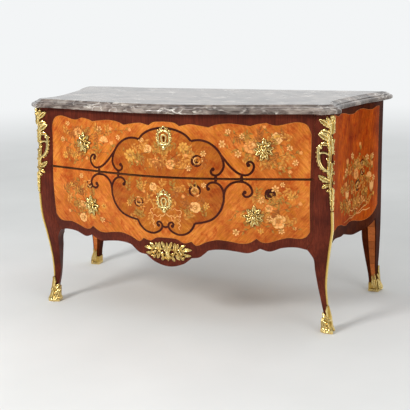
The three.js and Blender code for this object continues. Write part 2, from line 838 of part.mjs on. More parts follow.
// Half outline of a mount from its top to its foot, as shares of its half width and height.
function halfOutline(shares, halfWidth, halfHeight) {
  const rows = shares.map((share, i) => [i / (shares.length - 1), share]);
  const size = smoothTable(rows);
  return (angle) => {
    const fromTop = Math.abs(Math.atan2(Math.cos(angle), Math.sin(angle))) / Math.PI;
    const reach = size(fromTop);
    return [halfWidth * reach * Math.cos(angle), halfHeight * reach * Math.sin(angle)];
  };
}

function escutcheon(keyholeHeight) {
  const outline = halfOutline(escutcheonShares, escutcheonHalfWidth, escutcheonHalfHeight);
  const dome = (share) => escutcheonRelief * (0.35 + 0.65 * Math.sin(Math.PI * Math.min(share * 1.1, 1)));
  const points = (escutcheonShares.length - 1) * 2 * castPointsPerShare;
  const plate = castOnFront([0, keyholeHeight], outline, dome, [0.28, 0.55, 0.8, 1], points);
  const front = frontY(0, keyholeHeight) - cutOverrun;
  return cutAway(plate, [keyholeCutter(keyholeHeight, front, front + 2 * cutOverrun)]);
}

function apronMount() {
  const outline = halfOutline(apronMountShares, apronMountHalfWidth, apronMountHalfHeight);
  const dome = (share) => apronMountRelief * (0.3 + 0.7 * Math.sin(Math.PI * (0.35 + share * 0.6)));
  const points = (apronMountShares.length - 1) * 2 * castPointsPerShare;
  return castOnFront([0, apronHeight - apronMountDrop], outline, dome, [0.25, 0.5, 0.75, 1], points);
}

// Mounts that fold round the arris of a front post

function arrisFrame(z) {
  const section = sectionBetween(frontPostSection, z);
  const points = section.map(([x, y]) => new THREE.Vector2(x, y));
  // walks from the arris over the points of one face, then stands off it by the lift
  const onFace = (direction, across, lift) => {
    let from = arrisIndex;
    let left = across;
    const edge = () => points[from + direction].clone().sub(points[from]);
    while (left > edge().length() && from + 2 * direction > 0) {
      left -= edge().length();
      from += direction;
    }
    const along = edge().normalize();
    const normal = new THREE.Vector2(-along.y, along.x).multiplyScalar(-direction);
    return points[from].clone().addScaledVector(along, left).addScaledVector(normal, lift);
  };
  const onArris = (lift) => {
    const front = onFace(-1, 0, 1).sub(points[arrisIndex]);
    const side = onFace(1, 0, 1).sub(points[arrisIndex]);
    const mean = front.clone().add(side).normalize();
    return points[arrisIndex].clone().addScaledVector(mean, lift / mean.dot(front));
  };
  return {
    onFront: (across, lift) => onFace(-1, across, lift),
    onSide: (across, lift) => onFace(1, across, lift),
    onArris,
  };
}

function arrisRing(z, frontWidth, sideWidth, relief, section) {
  const frame = arrisFrame(z);
  const points = [
    frame.onFront(frontWidth, mountGap),
    ...section.map(([across, lift]) => frame.onFront(frontWidth * across, mountGap + relief * lift)),
    frame.onArris(mountGap + relief * 0.8),
    frame.onSide(sideWidth, mountGap + relief * 0.3),
    frame.onSide(sideWidth, mountGap),
    frame.onArris(mountGap),
    ...section.slice(1).reverse().map(([across]) => frame.onFront(frontWidth * across, mountGap)),
  ];
  return points.map((point) => [point.x, point.y, z]);
}

const cornerWidth = smoothTable(cornerMountShares);
const cornerMountTop = bodyTop - cornerMountTopDrop;
const cornerMountBottom = cornerMountTop - cornerMountHeight;

function cornerMount() {
  const ring = (share) => arrisRing(
    cornerMountBottom + cornerMountHeight * share,
    cornerMountWidth * cornerWidth(share),
    cornerMountSideWidth,
    cornerMountRelief,
    cornerMountSectionShares,
  );
  const casting = loft(steps(0, 1, cornerMountStations).map(ring));
  const cutters = cornerMountOpeningShares.map(([share, across, halfHeight, halfWidth]) => {
    const frame = arrisFrame(cornerMountBottom + cornerMountHeight * share);
    const middle = frame.onFront(cornerMountWidth * across, 0);
    const outward = frame.onFront(cornerMountWidth * across, 1).sub(middle);
    const hole = new THREE.CylinderGeometry(1, 1, 2 * cutOverrun, openingSides);
    hole.scale(cornerMountWidth * halfWidth, 1, cornerMountHeight * halfHeight);
    hole.rotateZ(Math.atan2(outward.y, outward.x) - Math.PI / 2);
    return hole.translate(middle.x, middle.y, cornerMountBottom + cornerMountHeight * share);
  });
  return cutAway(casting, cutters);
}

function cornerFillet() {
  const bottom = sabotLeafHeight + fitGap;
  const top = cornerMountBottom - fitGap;
  const between = postHeights.filter((z) => z > bottom && z < top);
  return loft([bottom, ...between, top].map((z) => {
    const width = filletWidthFoot + (filletWidthTop - filletWidthFoot) * (z - bottom) / (top - bottom);
    return arrisRing(z, width, width, filletRelief, [[1, 0.6]]);
  }));
}

// A cast shoe: a cup round the foot whose rim rises to a leaf on the outer corner.
function sabot(sectionAt, leafIndex) {
  const count = sectionAt(legBottom).length;
  const rim = (i) => {
    const away = Math.min(Math.abs(i - leafIndex), count - Math.abs(i - leafIndex));
    return sabotHeight + (sabotLeafHeight - sabotHeight) * Math.max(1 - away / 2, 0) * (away ? 0.8 : 1);
  };
  const ringAt = (heightShare, offset, bottom) => {
    return Array.from({ length: count }, (unused, i) => {
      const z = bottom + (rim(i) - bottom) * heightShare;
      const section = sectionBetween(sectionAt, Math.max(z, legBottom));
      return [...insetOutline(section, -offset)[i], z];
    });
  };
  const outer = sabotProfileShares.map(([height, out]) => ringAt(height, sabotGap + sabotWall * out, 0));
  const inner = sabotInnerShares.map((height) => ringAt(height, sabotGap, soleThickness));
  const floor = withHeight(insetOutline(sectionAt(legBottom), -sabotGap), soleThickness);
  return loft([...outer, ...inner, floor]);
}

// The whole commode

const commode = new THREE.Group();
const upperDrawer = new THREE.Group();
const lowerDrawer = new THREE.Group();
commode.add(upperDrawer, lowerDrawer);

const dark = () => finish(kingwood, 0.28);
const field = () => finish(tulipwood, 0.26);
const panelWood = () => finish(sideVeneer, 0.27);
const plain = () => finish(oak, 0.6);
const brass = () => finish(gilt, 0.32, 1);
const iron = () => finish(steel, 0.45, 1);

function put(group, name, geometry, material) {
  const mesh = new THREE.Mesh(geometry, material);
  mesh.name = name;
  group.add(mesh);
}

function putPair(group, names, geometry, makeMaterial) {
  put(group, names[0], mirrored(geometry), makeMaterial());
  put(group, names[1], geometry, makeMaterial());
}

// A box that stands on its own position, as a sawn board does.
function putBoard(group, name, left, right, front, back, bottom, top) {
  const mesh = new THREE.Mesh(new THREE.BoxGeometry(right - left, back - front, top - bottom), plain());
  mesh.name = name;
  mesh.position.set((left + right) / 2, (front + back) / 2, (bottom + top) / 2);
  group.add(mesh);
}

function putBoardPair(names, inner, outer, front, back, bottom, top) {
  putBoard(commode, names[0], -outer, -inner, front, back, bottom, top);
  putBoard(commode, names[1], inner, outer, front, back, bottom, top);
}

put(commode, 'marble_top', marbleTop(), finish(marble, 0.15));
putPair(commode, ['front_left_post', 'front_right_post'], post(frontPostSection), dark);
putPair(commode, ['back_left_post', 'back_right_post'], post(backPostSection), dark);
putPair(commode, ['left_side_panel', 'right_side_panel'], sidePanel(), panelWood);

put(commode, 'top_front_rail', railWithMortise(topRailBottom, topRailThickness, upperLock), plain());
put(commode, 'drawer_rail', railWithMortise(drawerRailBottom, railThickness, lowerLock), plain());
put(commode, 'bottom_rail', frontRail(bottomRailBottom, railThickness), plain());

const innerHalf = backPostInner - fitGap;
const panelBottom = bottomRailBottom + backRailHeight + fitGap;
const topBackRailBack = backPanelFront - fitGap;
const topBackRailFront = topBackRailBack - topBackRailDepth;
const bearerBack = topBackRailFront - fitGap;
putBoard(
  commode,
  'back_panel',
  -innerHalf,
  innerHalf,
  backPanelFront,
  bodyBack - backPanelInset,
  panelBottom,
  bodyTop,
);
putBoard(
  commode,
  'back_bottom_rail',
  -innerHalf,
  innerHalf,
  backRailFront,
  bodyBack - backPanelInset,
  bottomRailBottom,
  bottomRailBottom + backRailHeight,
);
putBoard(
  commode,
  'top_back_rail',
  -innerHalf,
  innerHalf,
  topBackRailFront,
  topBackRailBack,
  topRailBottom,
  bodyTop,
);
putBoard(
  commode,
  'top_bearer',
  -bearerWidth / 2,
  bearerWidth / 2,
  runnerFront,
  bearerBack,
  topRailBottom,
  bodyTop,
);

const runnerInner = runnerOuter - runnerWidth;
const guideInner = runnerOuter - guideWidth;
putBoardPair(
  ['kicker_left', 'kicker_right'],
  runnerInner,
  runnerOuter,
  runnerFront,
  bearerBack,
  topRailBottom,
  bodyTop,
);

// Each drawer's level: name, underside of its rail, and where the runners end at the back
const levels = [
  ['upper', drawerRailBottom, backPanelFront - fitGap],
  ['lower', bottomRailBottom, backRailFront - fitGap],
];
levels.forEach(([name, railBottom, back]) => {
  const bottom = railBottom + caseBoardThickness + fitGap;
  const top = railBottom + railThickness;
  const runnerNames = [`${name}_runner_left`, `${name}_runner_right`];
  const guideNames = [`${name}_guide_left`, `${name}_guide_right`];
  putBoardPair(runnerNames, runnerInner, runnerOuter, runnerFront, back, bottom, top);
  putBoardPair(guideNames, guideInner, runnerOuter, runnerFront, back, top + fitGap, top + guideHeight);
});

put(commode, 'dust_board', caseBoard(drawerRailBottom, backPanelFront - fitGap), plain());
put(commode, 'bottom_board', caseBoard(bottomRailBottom, backRailFront - fitGap), plain());

putPair(commode, ['corner_mount_left', 'corner_mount_right'], cornerMount(), brass);
putPair(commode, ['corner_fillet_left', 'corner_fillet_right'], cornerFillet(), brass);
putPair(commode, ['front_left_sabot', 'front_right_sabot'], sabot(frontPostSection, arrisIndex), brass);
putPair(commode, ['back_left_sabot', 'back_right_sabot'], sabot(backPostSection, backArrisIndex), brass);

function fillDrawer(group, name, front, bottom, height, lock, [pullX, pullZ]) {
  put(group, `${name}_drawer_front`, front, field());
  const sideNames = [`${name}_drawer_side_left`, `${name}_drawer_side_right`];
  putPair(group, sideNames, drawerSide(bottom, height), plain);
  put(group, `${name}_drawer_bottom`, drawerBottom(bottom), plain());
  put(group, `${name}_drawer_back`, drawerBack(bottom, height), plain());
  put(group, `${name}_lock_case`, lockCase(lock), iron());
  put(group, `${name}_lock_bolt`, lockBolt(lock), iron());
  put(group, `${name}_escutcheon`, escutcheon(lock.keyholeHeight), brass());
  put(group, `${name}_pull_left`, pull([-pullX, pullZ]), brass());
  put(group, `${name}_pull_right`, pull([pullX, pullZ]), brass());
}

// A drawer front's pull stands at its shares of the front's half width and height.
function pullPlace([across, up], bottom, top) {
  return [drawerHalf * across, bottom + (top - bottom) * up];
}

const upperBottom = drawerRailTop + fitGap;
const lowerBottom = bottomRailTop + fitGap;
const upperHeight = topRailBottom - drawerTopClearance - upperBottom;
const lowerHeight = drawerRailBottom - drawerTopClearance - lowerBottom;
const upperPulls = pullPlace(upperPullShares, upperFrontBottom, upperFrontTop);
const lowerPulls = pullPlace(lowerPullShares, kneeTopHeight, lowerFrontTop);
fillDrawer(upperDrawer, 'upper', upperFront(), upperBottom, upperHeight, upperLock, upperPulls);
fillDrawer(lowerDrawer, 'lower', lowerFront(), lowerBottom, lowerHeight, lowerLock, lowerPulls);
put(lowerDrawer, 'apron_mount', apronMount(), brass());

export default commode;
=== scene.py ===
# Commode chest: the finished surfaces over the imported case, section by section as it is put together.
# Metres, +Z up, front towards -Y, origin on the floor under the middle of the marble. Tables of places
# are written in millimetres, and metres() turns them into metres.

import random
from math import acos, atan2, ceil, copysign, cos, hypot, pi, radians, sin

import bpy
import numpy as np
from mathutils import Matrix, Vector


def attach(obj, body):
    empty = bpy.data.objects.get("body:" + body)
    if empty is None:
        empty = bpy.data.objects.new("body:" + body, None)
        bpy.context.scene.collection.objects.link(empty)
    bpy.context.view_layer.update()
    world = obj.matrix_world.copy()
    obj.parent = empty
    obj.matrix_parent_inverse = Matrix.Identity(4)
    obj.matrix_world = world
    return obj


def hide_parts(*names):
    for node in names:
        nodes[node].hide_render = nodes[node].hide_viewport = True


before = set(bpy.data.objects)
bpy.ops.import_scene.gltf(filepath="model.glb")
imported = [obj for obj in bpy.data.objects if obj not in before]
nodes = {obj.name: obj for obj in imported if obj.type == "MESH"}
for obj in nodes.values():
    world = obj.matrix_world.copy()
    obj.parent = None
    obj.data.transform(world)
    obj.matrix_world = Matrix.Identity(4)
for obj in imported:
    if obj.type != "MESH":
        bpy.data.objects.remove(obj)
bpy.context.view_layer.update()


# The room: a plain pale floor under an even pale sky, a broad soft window light from the front left,
# a weaker one from the right, and the camera at standing height to the right of the chest.
# The floor pales with distance, so it has no horizon line.
picture_side = 410
camera_place = (1.1925, -3.1119, 1.1751)
camera_turn = radians(20.527)
camera_tilt = radians(90 - 12.687)
camera_roll = radians(-0.887)
camera_lens = 70.99
camera_drop = 1

camera = bpy.data.objects.new("camera", bpy.data.cameras.new("camera"))
camera.data.lens = camera_lens
camera.data.shift_y = -camera_drop / picture_side
camera.matrix_world = (
    Matrix.Translation(camera_place)
    @ Matrix.Rotation(camera_turn, 4, "Z")
    @ Matrix.Rotation(camera_tilt, 4, "X")
    @ Matrix.Rotation(camera_roll, 4, "Z")
)
scene = bpy.context.scene
scene.collection.objects.link(camera)
scene.camera = camera
scene.view_settings.view_transform = "Standard"


def linear(hex_colour):
    """An sRGB hex colour as linear red, green, blue and alpha."""
    shares = [int(hex_colour[i : i + 2], 16) / 255 for i in (1, 3, 5)]
    return (*(s / 12.92 if s <= 0.04045 else ((s + 0.055) / 1.055) ** 2.4 for s in shares), 1)


def adder(tree):
    """A function that adds a node to the tree, with its settings. An input gets a value, or a link
    from a socket or from another node's first output."""

    def add(kind, links=None, **settings):
        node = tree.nodes.new(kind)
        for name, value in settings.items():
            setattr(node, name, value)
        for socket, value in (links or {}).items():
            if isinstance(value, bpy.types.Node):
                value = next(output for output in value.outputs if output.enabled)
            if isinstance(value, bpy.types.NodeSocket):
                tree.links.new(value, node.inputs[socket])
            else:
                node.inputs[socket].default_value = value
        return node

    return add


def new_material(name):
    material = bpy.data.materials.new(name)
    material.use_nodes = True
    material.node_tree.nodes.clear()
    return material, adder(material.node_tree)


def paint_ramp(ramp, stops):
    """Sets a colour ramp's stops: place and hex colour."""
    elements = ramp.color_ramp.elements
    while len(elements) > 1:
        elements.remove(elements[-1])
    elements[0].position = stops[0][0]
    elements[0].color = linear(stops[0][1])
    for place, colour in stops[1:]:
        elements.new(place).color = linear(colour)


floor_reach = 14
floor_fade_start = 2.2
floor_fade_end = 9
room_white = "#f3f5f6"

bpy.ops.mesh.primitive_circle_add(vertices=96, radius=floor_reach, fill_type="NGON")
floor = bpy.context.object
floor.name = "floor"
floor_paint, add = new_material("pale_floor")
place = add("ShaderNodeTexCoord").outputs["Object"]
distance = add("ShaderNodeVectorMath", {0: place}, operation="LENGTH")
fade = add("ShaderNodeMapRange", {
    "Value": distance, "From Min": floor_fade_start, "From Max": floor_fade_end,
}, interpolation_type="SMOOTHSTEP")
cloud = add("ShaderNodeTexNoise", {"Vector": place, "Scale": 1.1, "Detail": 4})
tint = add("ShaderNodeValToRGB", {"Fac": cloud})
paint_ramp(tint, [(0.3, "#dcdddb"), (0.7, "#e6e7e5")])
matt = add("ShaderNodeBsdfDiffuse", {"Color": tint})
glow = add("ShaderNodeEmission", {"Color": linear(room_white)})
rays = add("ShaderNodeLightPath")
seen_fade = add("ShaderNodeMath", {0: fade, 1: rays.outputs["Is Camera Ray"]}, operation="MULTIPLY")
mixed = add("ShaderNodeMixShader", {0: seen_fade, 1: matt, 2: glow})
add("ShaderNodeOutputMaterial", {"Surface": mixed})
floor.data.materials.append(floor_paint)

sky_strength = 0.72
sky = bpy.data.worlds.new("even_sky")
sky.use_nodes = True
sky.node_tree.nodes.clear()
add = adder(sky.node_tree)
rays = add("ShaderNodeLightPath")
seen = add("ShaderNodeMath", {
    0: rays.outputs["Is Camera Ray"], 1: rays.outputs["Is Transmission Ray"],
}, operation="MAXIMUM")
direction = add("ShaderNodeTexCoord")
parts = add("ShaderNodeSeparateXYZ", {0: direction.outputs["Generated"]})
behind = add("ShaderNodeMapRange", {
    "Value": parts.outputs["Y"], "From Min": -0.35, "From Max": 0.7, "To Min": 0.25,
}, interpolation_type="SMOOTHSTEP")
mirrored_light = add("ShaderNodeBackground", {"Color": linear(room_white), "Strength": behind})
plain_light = add("ShaderNodeBackground", {"Color": linear("#f4f6f8"), "Strength": sky_strength})
white = add("ShaderNodeBackground", {"Color": linear(room_white)})
shine = add("ShaderNodeMixShader", {0: rays.outputs["Is Glossy Ray"], 1: plain_light, 2: mirrored_light})
whole = add("ShaderNodeMixShader", {0: seen, 1: shine, 2: white})
add("ShaderNodeOutputWorld", {"Surface": whole})
scene.world = sky

# name, place, wattage, width and height of each soft light; all face the middle of the chest
chest_middle = Vector((0, 0, 0.45))
soft_lights = [
    ("window_light", (-1.45, -3.15, 2.4), 91, 0.9, 0.8),
    ("room_light", (3.4, -2.2, 2.2), 30, 2.0, 1.6),
    ("back_light", (0.3, 3.0, 3.2), 18, 4.0, 2.2),
]
for name, place, watts, width, height in soft_lights:
    lamp = bpy.data.lights.new(name, "AREA")
    lamp.shape = "RECTANGLE"
    lamp.size = width
    lamp.size_y = height
    lamp.energy = watts
    holder = bpy.data.objects.new(name, lamp)
    holder.location = place
    holder.rotation_euler = (chest_middle - Vector(place)).to_track_quat("-Z", "Y").to_euler()
    scene.collection.objects.link(holder)


# The case inside: rails, runners, guides, kickers, dust board and back, planed from oak and left
# without polish. The grain is brown with darker pores; boards run along their length.
levels = ("upper", "lower")
sides = ((-1, "left"), (1, "right"))
tinting = {"data_type": "RGBA", "blend_type": "MULTIPLY"}


def toned(add, colour):
    """The colour with each strip, petal or leaf as light or dark as its own tone says."""
    tone = add("ShaderNodeAttribute", attribute_name="tone")
    piece = add("ShaderNodeMapRange", {
        "Value": tone.outputs["Fac"], "From Min": -1, "To Min": 0.55, "To Max": 1.45,
    })
    return add("ShaderNodeMix", {"Factor": 1, "A": colour, "B": piece}, **tinting)


def wood(name, stops, streak, length, along, rough=0.34, polish=0.04, pores=0.35, mirror_height=None,
         turn=(0, 0, 0), gloss=0.09, mottle=0):
    """A veneer or board: streaks of one size along one axis, pores drawn some five times too coarse, so
    that they show, and where it is mottled redder and yellower blotches about 30 mm across."""
    material, add = new_material(name)
    place = add("ShaderNodeTexCoord").outputs["Object"]
    if mirror_height is not None:
        centred = add("ShaderNodeVectorMath", {0: place, 1: (0, 0, mirror_height)}, operation="SUBTRACT")
        place = add("ShaderNodeVectorMath", {0: centred}, operation="ABSOLUTE")
    cell = [streak, streak, streak]
    cell["XYZ".index(along)] = length
    turned = add("ShaderNodeMapping", {
        "Vector": place, "Rotation": turn, "Scale": cell,
    }, vector_type="TEXTURE")
    grain = add("ShaderNodeTexNoise", {
        "Vector": turned, "Scale": 1, "Detail": 5, "Roughness": 0.62, "Distortion": 0.35,
    })
    figure = add("ShaderNodeTexNoise", {"Vector": place, "Scale": 12, "Detail": 4, "Roughness": 0.6})
    fine = add("ShaderNodeTexNoise", {"Vector": turned, "Scale": 3.7, "Detail": 3, "Roughness": 0.7})
    streaks = add("ShaderNodeMath", {0: grain, 1: figure, 2: 0.45}, operation="MULTIPLY_ADD")
    tones = add("ShaderNodeMapRange", {"Value": streaks, "From Min": 0.48, "From Max": 0.98})
    colours = add("ShaderNodeValToRGB", {"Fac": tones})
    paint_ramp(colours, stops)
    shade = add("ShaderNodeMapRange", {
        "Value": fine, "From Min": 0.35, "From Max": 0.6, "To Min": 1 - pores,
    })
    dark = add("ShaderNodeMix", {"Factor": 1, "A": colours, "B": shade}, **tinting)
    blotches = add("ShaderNodeTexNoise", {
        "Vector": place, "Scale": 30, "Detail": 5, "Roughness": 0.68, "Distortion": 0.7,
    })
    tints = add("ShaderNodeValToRGB", {"Fac": blotches})
    paint_ramp(tints, [(0.36, "#e0a283"), (0.5, "#ffffff"), (0.64, "#f6ffbe")])
    mottled = add("ShaderNodeMix", {"Factor": mottle, "A": dark, "B": tints}, **tinting)
    haze = add("ShaderNodeMapRange", {"Value": figure, "To Min": rough * 0.8, "To Max": rough * 1.25})
    dent = add("ShaderNodeBump", {"Strength": 0.25, "Distance": 0.0002, "Height": fine})
    shader = add("ShaderNodeBsdfPrincipled", {
        "Base Color": toned(add, mottled), "Roughness": haze, "Normal": dent, "Coat Weight": polish,
        "Coat Roughness": 0.12, "Specular IOR Level": gloss,
    })
    add("ShaderNodeOutputMaterial", {"Surface": shader})
    return material


def dress(node_names, material):
    for name in node_names:
        node = nodes[name]
        node.data.materials.clear()
        node.data.materials.append(material)


oak_stops = [(0.0, "#7d5730"), (0.45, "#a67c4b"), (1.0, "#c29a66")]
oak_long = wood("planed_oak_long_grain", oak_stops, 0.009, 0.22, "X", rough=0.62, polish=0)
oak_deep = wood("planed_oak_deep_grain", oak_stops, 0.009, 0.22, "Y", rough=0.62, polish=0)
dress([
    "top_front_rail", "drawer_rail", "bottom_rail", "back_bottom_rail", "top_back_rail", "dust_board",
    "bottom_board", "back_panel",
], oak_long)
dress(["top_bearer", "kicker_left", "kicker_right"] + [
    f"{level}_{part}_{side}" for level in levels for part in ("runner", "guide") for _, side in sides
], oak_deep)


# The front corner posts, each one piece of beech with its cabriole leg, veneered in kingwood with the
# grain upright: dark red brown with near black streaks, French polished. The right one is made by
# rule and the left one is its mirror image.
body_height = 0.848
body_top = 0.8477
body_back = 0.3745
body_back_half = 0.703
corner_half = 0.612
corner_y = -0.2155
leg_swing = 0.020
belly_y = -0.370
front_bow = 0.120
bow_blend = 0.516
# how far the face draws back over a reach above the belly, and below it
belly_height = 0.540
upper_recess, upper_recess_reach = 0.014, 0.2
lower_recess, lower_recess_reach, lower_recess_power = 0.036, 0.29, 1.6
apron_height = 0.336
knee_top = 0.385
meeting_height = 0.608
post_inner = 0.548
post_face_depth = 0.006
post_face_swell = 0.008
post_back_inset = 0.004
knee_width = 0.086
knee_depth = 0.055
leg_bottom = 0.0058
# share of the body's height, then how far the arris stands out and back as shares of the leg's swing
arris_rows = [
    (0, 0.15, 0.15), (0.024, 0, 0.3), (0.071, -0.3, 0.6), (0.137, -0.65, 0.65), (0.224, -0.85, 0.15),
    (0.295, -0.65, -0.2), (0.38, -0.2, -0.7), (0.441, 0.2, -1.1), (0.489, 0.45, -1.2), (0.554, 0.45, -1.45),
    (0.613, 0.4, -1.6), (0.72, 0.25, -1.5), (0.841, 0.1, -1.15), (0.943, 0.15, -1.3), (1, 0.2, -1.4),
]
# share of the height or depth and share of the width, depth or swing there
leg_inner_rows = [
    (0, 0.33), (0.19, 0.34), (0.345, 0.465), (0.5, 0.57), (0.745, 0.69), (0.887, 0.74), (0.952, 0.87), (1, 1),
]
leg_depth_rows = [(0, 0.51), (0.18, 0.49), (0.345, 0.51), (0.565, 0.6), (0.745, 0.69), (0.893, 0.78), (1, 1)]
side_flare_rows = [(0, 0), (0.15, -0.13), (0.35, -0.04), (0.6, 0.33), (0.8, 0.8), (1, 1)]
back_arris_rows = [(0, 0.7), (0.048, 0.3), (0.116, 0), (0.2, 0.1), (0.348, 0.2), (0.74, 0), (1, -0.05)]


def smooth_table(rows, column=1):
    """A smooth curve through rows of place and value, with slopes from the neighbouring rows."""
    last = len(rows) - 1
    slopes = []
    for i in range(last + 1):
        before, after = rows[max(i - 1, 0)], rows[min(i + 1, last)]
        slopes.append((after[column] - before[column]) / (after[0] - before[0]))

    def value(place):
        i = 0
        while i < last - 1 and place > rows[i + 1][0]:
            i += 1
        span = rows[i + 1][0] - rows[i][0]
        t = min(max((place - rows[i][0]) / span, 0), 1)
        rise = t * t * (3 - 2 * t)
        pull = t * (1 - t) ** 2 * slopes[i] * span + t * t * (t - 1) * slopes[i + 1] * span
        return rows[i][column] * (1 - rise) + rows[i + 1][column] * rise + pull

    return value


def smoothstep(value, low, high):
    t = min(max((value - low) / (high - low), 0), 1)
    return t * t * (3 - 2 * t)


def steps(start, end, count):
    return [start + (end - start) * i / count for i in range(count + 1)]


def bow(x):
    t = abs(x) / corner_half
    return front_bow * (bow_blend * t * t * (3 - 2 * t) + (1 - bow_blend) * t * t)


def recess(z):
    if z > belly_height:
        return upper_recess * smoothstep(z, belly_height, belly_height + upper_recess_reach)
    return lower_recess * ((belly_height - z) / lower_recess_reach) ** lower_recess_power


def front_y(x, z):
    return belly_y + bow(x) + recess(z)


arris_out = smooth_table(arris_rows, 1)
arris_back = smooth_table(arris_rows, 2)
side_flare = smooth_table(side_flare_rows)
back_arris = smooth_table(back_arris_rows)
leg_inner = smooth_table(leg_inner_rows)
leg_depth = smooth_table(leg_depth_rows)


def arris_x(z):
    return corner_half + leg_swing * arris_out(z / body_height)


def arris_y(z):
    return corner_y + leg_swing * arris_back(z / body_height)


def side_x(y, z):
    back_x = body_back_half + leg_swing * back_arris(z / body_height)
    t = (y - arris_y(z)) / (body_back - arris_y(z))
    return arris_x(z) + (back_x - arris_x(z)) * side_flare(t)


knee_rear = arris_y(apron_height) + knee_depth


def inner_edge_x(z):
    tip = corner_half - knee_width
    if z >= knee_top:
        return post_inner
    if z < apron_height:
        return corner_half - knee_width * leg_inner(z / apron_height)
    return tip + (post_inner - tip) * (z - apron_height) / (knee_top - apron_height)


def rear_y(z):
    return knee_rear if z >= apron_height else arris_y(z) + knee_depth * leg_depth(z / apron_height)


def post_edges(z):
    """The inner edge and the arris of the right front post's face."""
    inner_x, arris = inner_edge_x(z), np.array((arris_x(z), arris_y(z)))
    return np.array((inner_x, min(front_y(inner_x, z), arris[1] + post_face_depth))), arris


def post_front(z, share):
    """A place on the slightly rounded face of the right front post, a share of the way to the arris."""
    inner, arris = post_edges(z)
    x, y = inner + (arris - inner) * share
    return (x, y - post_face_swell * share * (1 - share), z)


def front_post_ring(z, face_steps=10, side_steps=6):
    """Section of the right front post, anticlockwise from its inner front edge; the arris has face_steps."""
    rear = rear_y(z)
    ring = [post_front(z, share) for share in steps(0, 1, face_steps)[:-1]]
    ring += [(side_x(y, z), y, z) for y in steps(arris_y(z), rear, side_steps)]
    return ring + [(max(inner_edge_x(z) + post_back_inset, post_inner), rear, z)]


def new_sheet():
    return {"points": [], "faces": [], "slots": [], "uv": [], "tone": [], "relief": []}


def add_shell(sheet, points, faces, slots, tone=0.0, uv=None, relief=None, hand=1):
    """Adds one closed shell, turned to face outwards. hand -1 mirrors it left to right."""
    points = np.array(points, float).reshape(-1, 3) * (hand, 1, 1)
    fans = np.array([(face[0], face[k], face[k + 1]) for face in faces for k in range(1, len(face) - 1)])
    a, b, c = (points[fans[:, i]] - points.mean(0) for i in range(3))
    if np.einsum("ij,ij->", a, np.cross(b, c)) < 0:
        faces = [face[::-1] for face in faces]
    offset = len(sheet["points"])
    sheet["points"] += points.tolist()
    sheet["faces"] += [[offset + i for i in face] for face in faces]
    sheet["slots"] += slots
    sheet["tone"] += [tone] * len(points)
    sheet["uv"] += uv if uv else [(0.5, 0.5)] * len(points)
    sheet["relief"] += relief if relief else [0.0] * len(points)


def add_loft(sheet, rings, slot=0, **rest):
    """Joins closed rings of points into one shell with flat ends."""
    count = len(rings[0])
    last = (len(rings) - 1) * count
    faces = []
    for low in range(0, last, count):
        for i in range(count):
            j = (i + 1) % count
            faces.append([low + i, low + j, low + count + j, low + count + i])
    faces.append(list(range(count - 1, -1, -1)))
    faces.append(list(range(last, last + count)))
    add_shell(sheet, rings, faces, [slot] * len(faces), **rest)


def make_piece(name, sheet, materials, sharp=35):
    """A mesh object at the origin from a sheet of shells, smooth but for edges sharper than the angle."""
    mesh = bpy.data.meshes.new(name)
    mesh.from_pydata(sheet["points"], [], sheet["faces"])
    mesh.polygons.foreach_set("material_index", sheet["slots"])
    for attribute in ("tone", "relief"):
        values = mesh.attributes.new(attribute, "FLOAT", "POINT")
        values.data.foreach_set("value", sheet[attribute])
    corners = np.zeros(len(mesh.loops), np.int32)
    mesh.loops.foreach_get("vertex_index", corners)
    corner_uv = np.array(sheet["uv"], np.float32)[corners].ravel()
    mesh.uv_layers.new(name="UVMap").data.foreach_set("uv", corner_uv)
    mesh.shade_smooth()
    mesh.set_sharp_from_angle(angle=radians(sharp))
    for material in materials:
        mesh.materials.append(material)
    piece = bpy.data.objects.new(name, mesh)
    scene.collection.objects.link(piece)
    return piece


def settle(piece, body, replaced=()):
    """A finished piece rides on its body and stands for its nodes, which are hidden."""
    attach(piece, body)
    if replaced:
        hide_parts(*replaced)


kingwood_stops = [(0.0, "#2e0e07"), (0.35, "#541f12"), (0.65, "#6e2d1b"), (0.9, "#8a4227"), (1.0, "#9c5433")]
kingwood = wood("french_polished_kingwood", kingwood_stops, 0.0042, 0.12, "Z")

post_heights = (
    steps(leg_bottom, apron_height, 56) + steps(apron_height, knee_top, 8)[1:]
    + steps(knee_top, body_top, 60)[1:]
)
for hand, side in sides:
    sheet = new_sheet()
    add_loft(sheet, [front_post_ring(z) for z in post_heights], hand=hand)
    settle(make_piece(f"{side}_front_post_veneered", sheet, [kingwood]), "carcass",
           [f"front_{side}_post"])


# The back corner posts, of the same veneered beech, with straighter legs. The front face of each leg
# has a panel of orange tulipwood laid crosswise in short lengths, whose joints show as fine lines.
back_post_width = 0.068
back_post_depth = 0.075
back_inner_rows = [(0, 0.456), (0.19, 0.53), (0.475, 0.78), (0.7, 0.956), (0.85, 1), (1, 1)]
back_depth_rows = [(0, 0.507), (0.21, 0.467), (0.475, 0.6), (0.8, 0.8), (1, 1)]
strip_bottom = 0.06
strip_top = 0.336
strip_count = 8
strip_joint = 0.0012
strip_edge = 0.005
strip_reach = 0.03
veneer_rise = 0.00035

back_inner = smooth_table(back_inner_rows)
back_depth = smooth_table(back_depth_rows)


def back_front(z):
    return body_back - back_post_depth * back_depth(min(z / apron_height, 1))


def back_post_ring(z, side_steps=8):
    inner_x = body_back_half - back_post_width * back_inner(min(z / apron_height, 1))
    side = [(side_x(y, z), y, z) for y in steps(back_front(z), body_back, side_steps)]
    return [(inner_x, back_front(z), z)] + side + [(inner_x, body_back, z)]


def back_front_spot(across_at, z, lift):
    """A place on the front face of the right back post, counted inwards from its outer edge."""
    return np.array((side_x(back_front(z), z) - across_at, back_front(z) - lift, z))


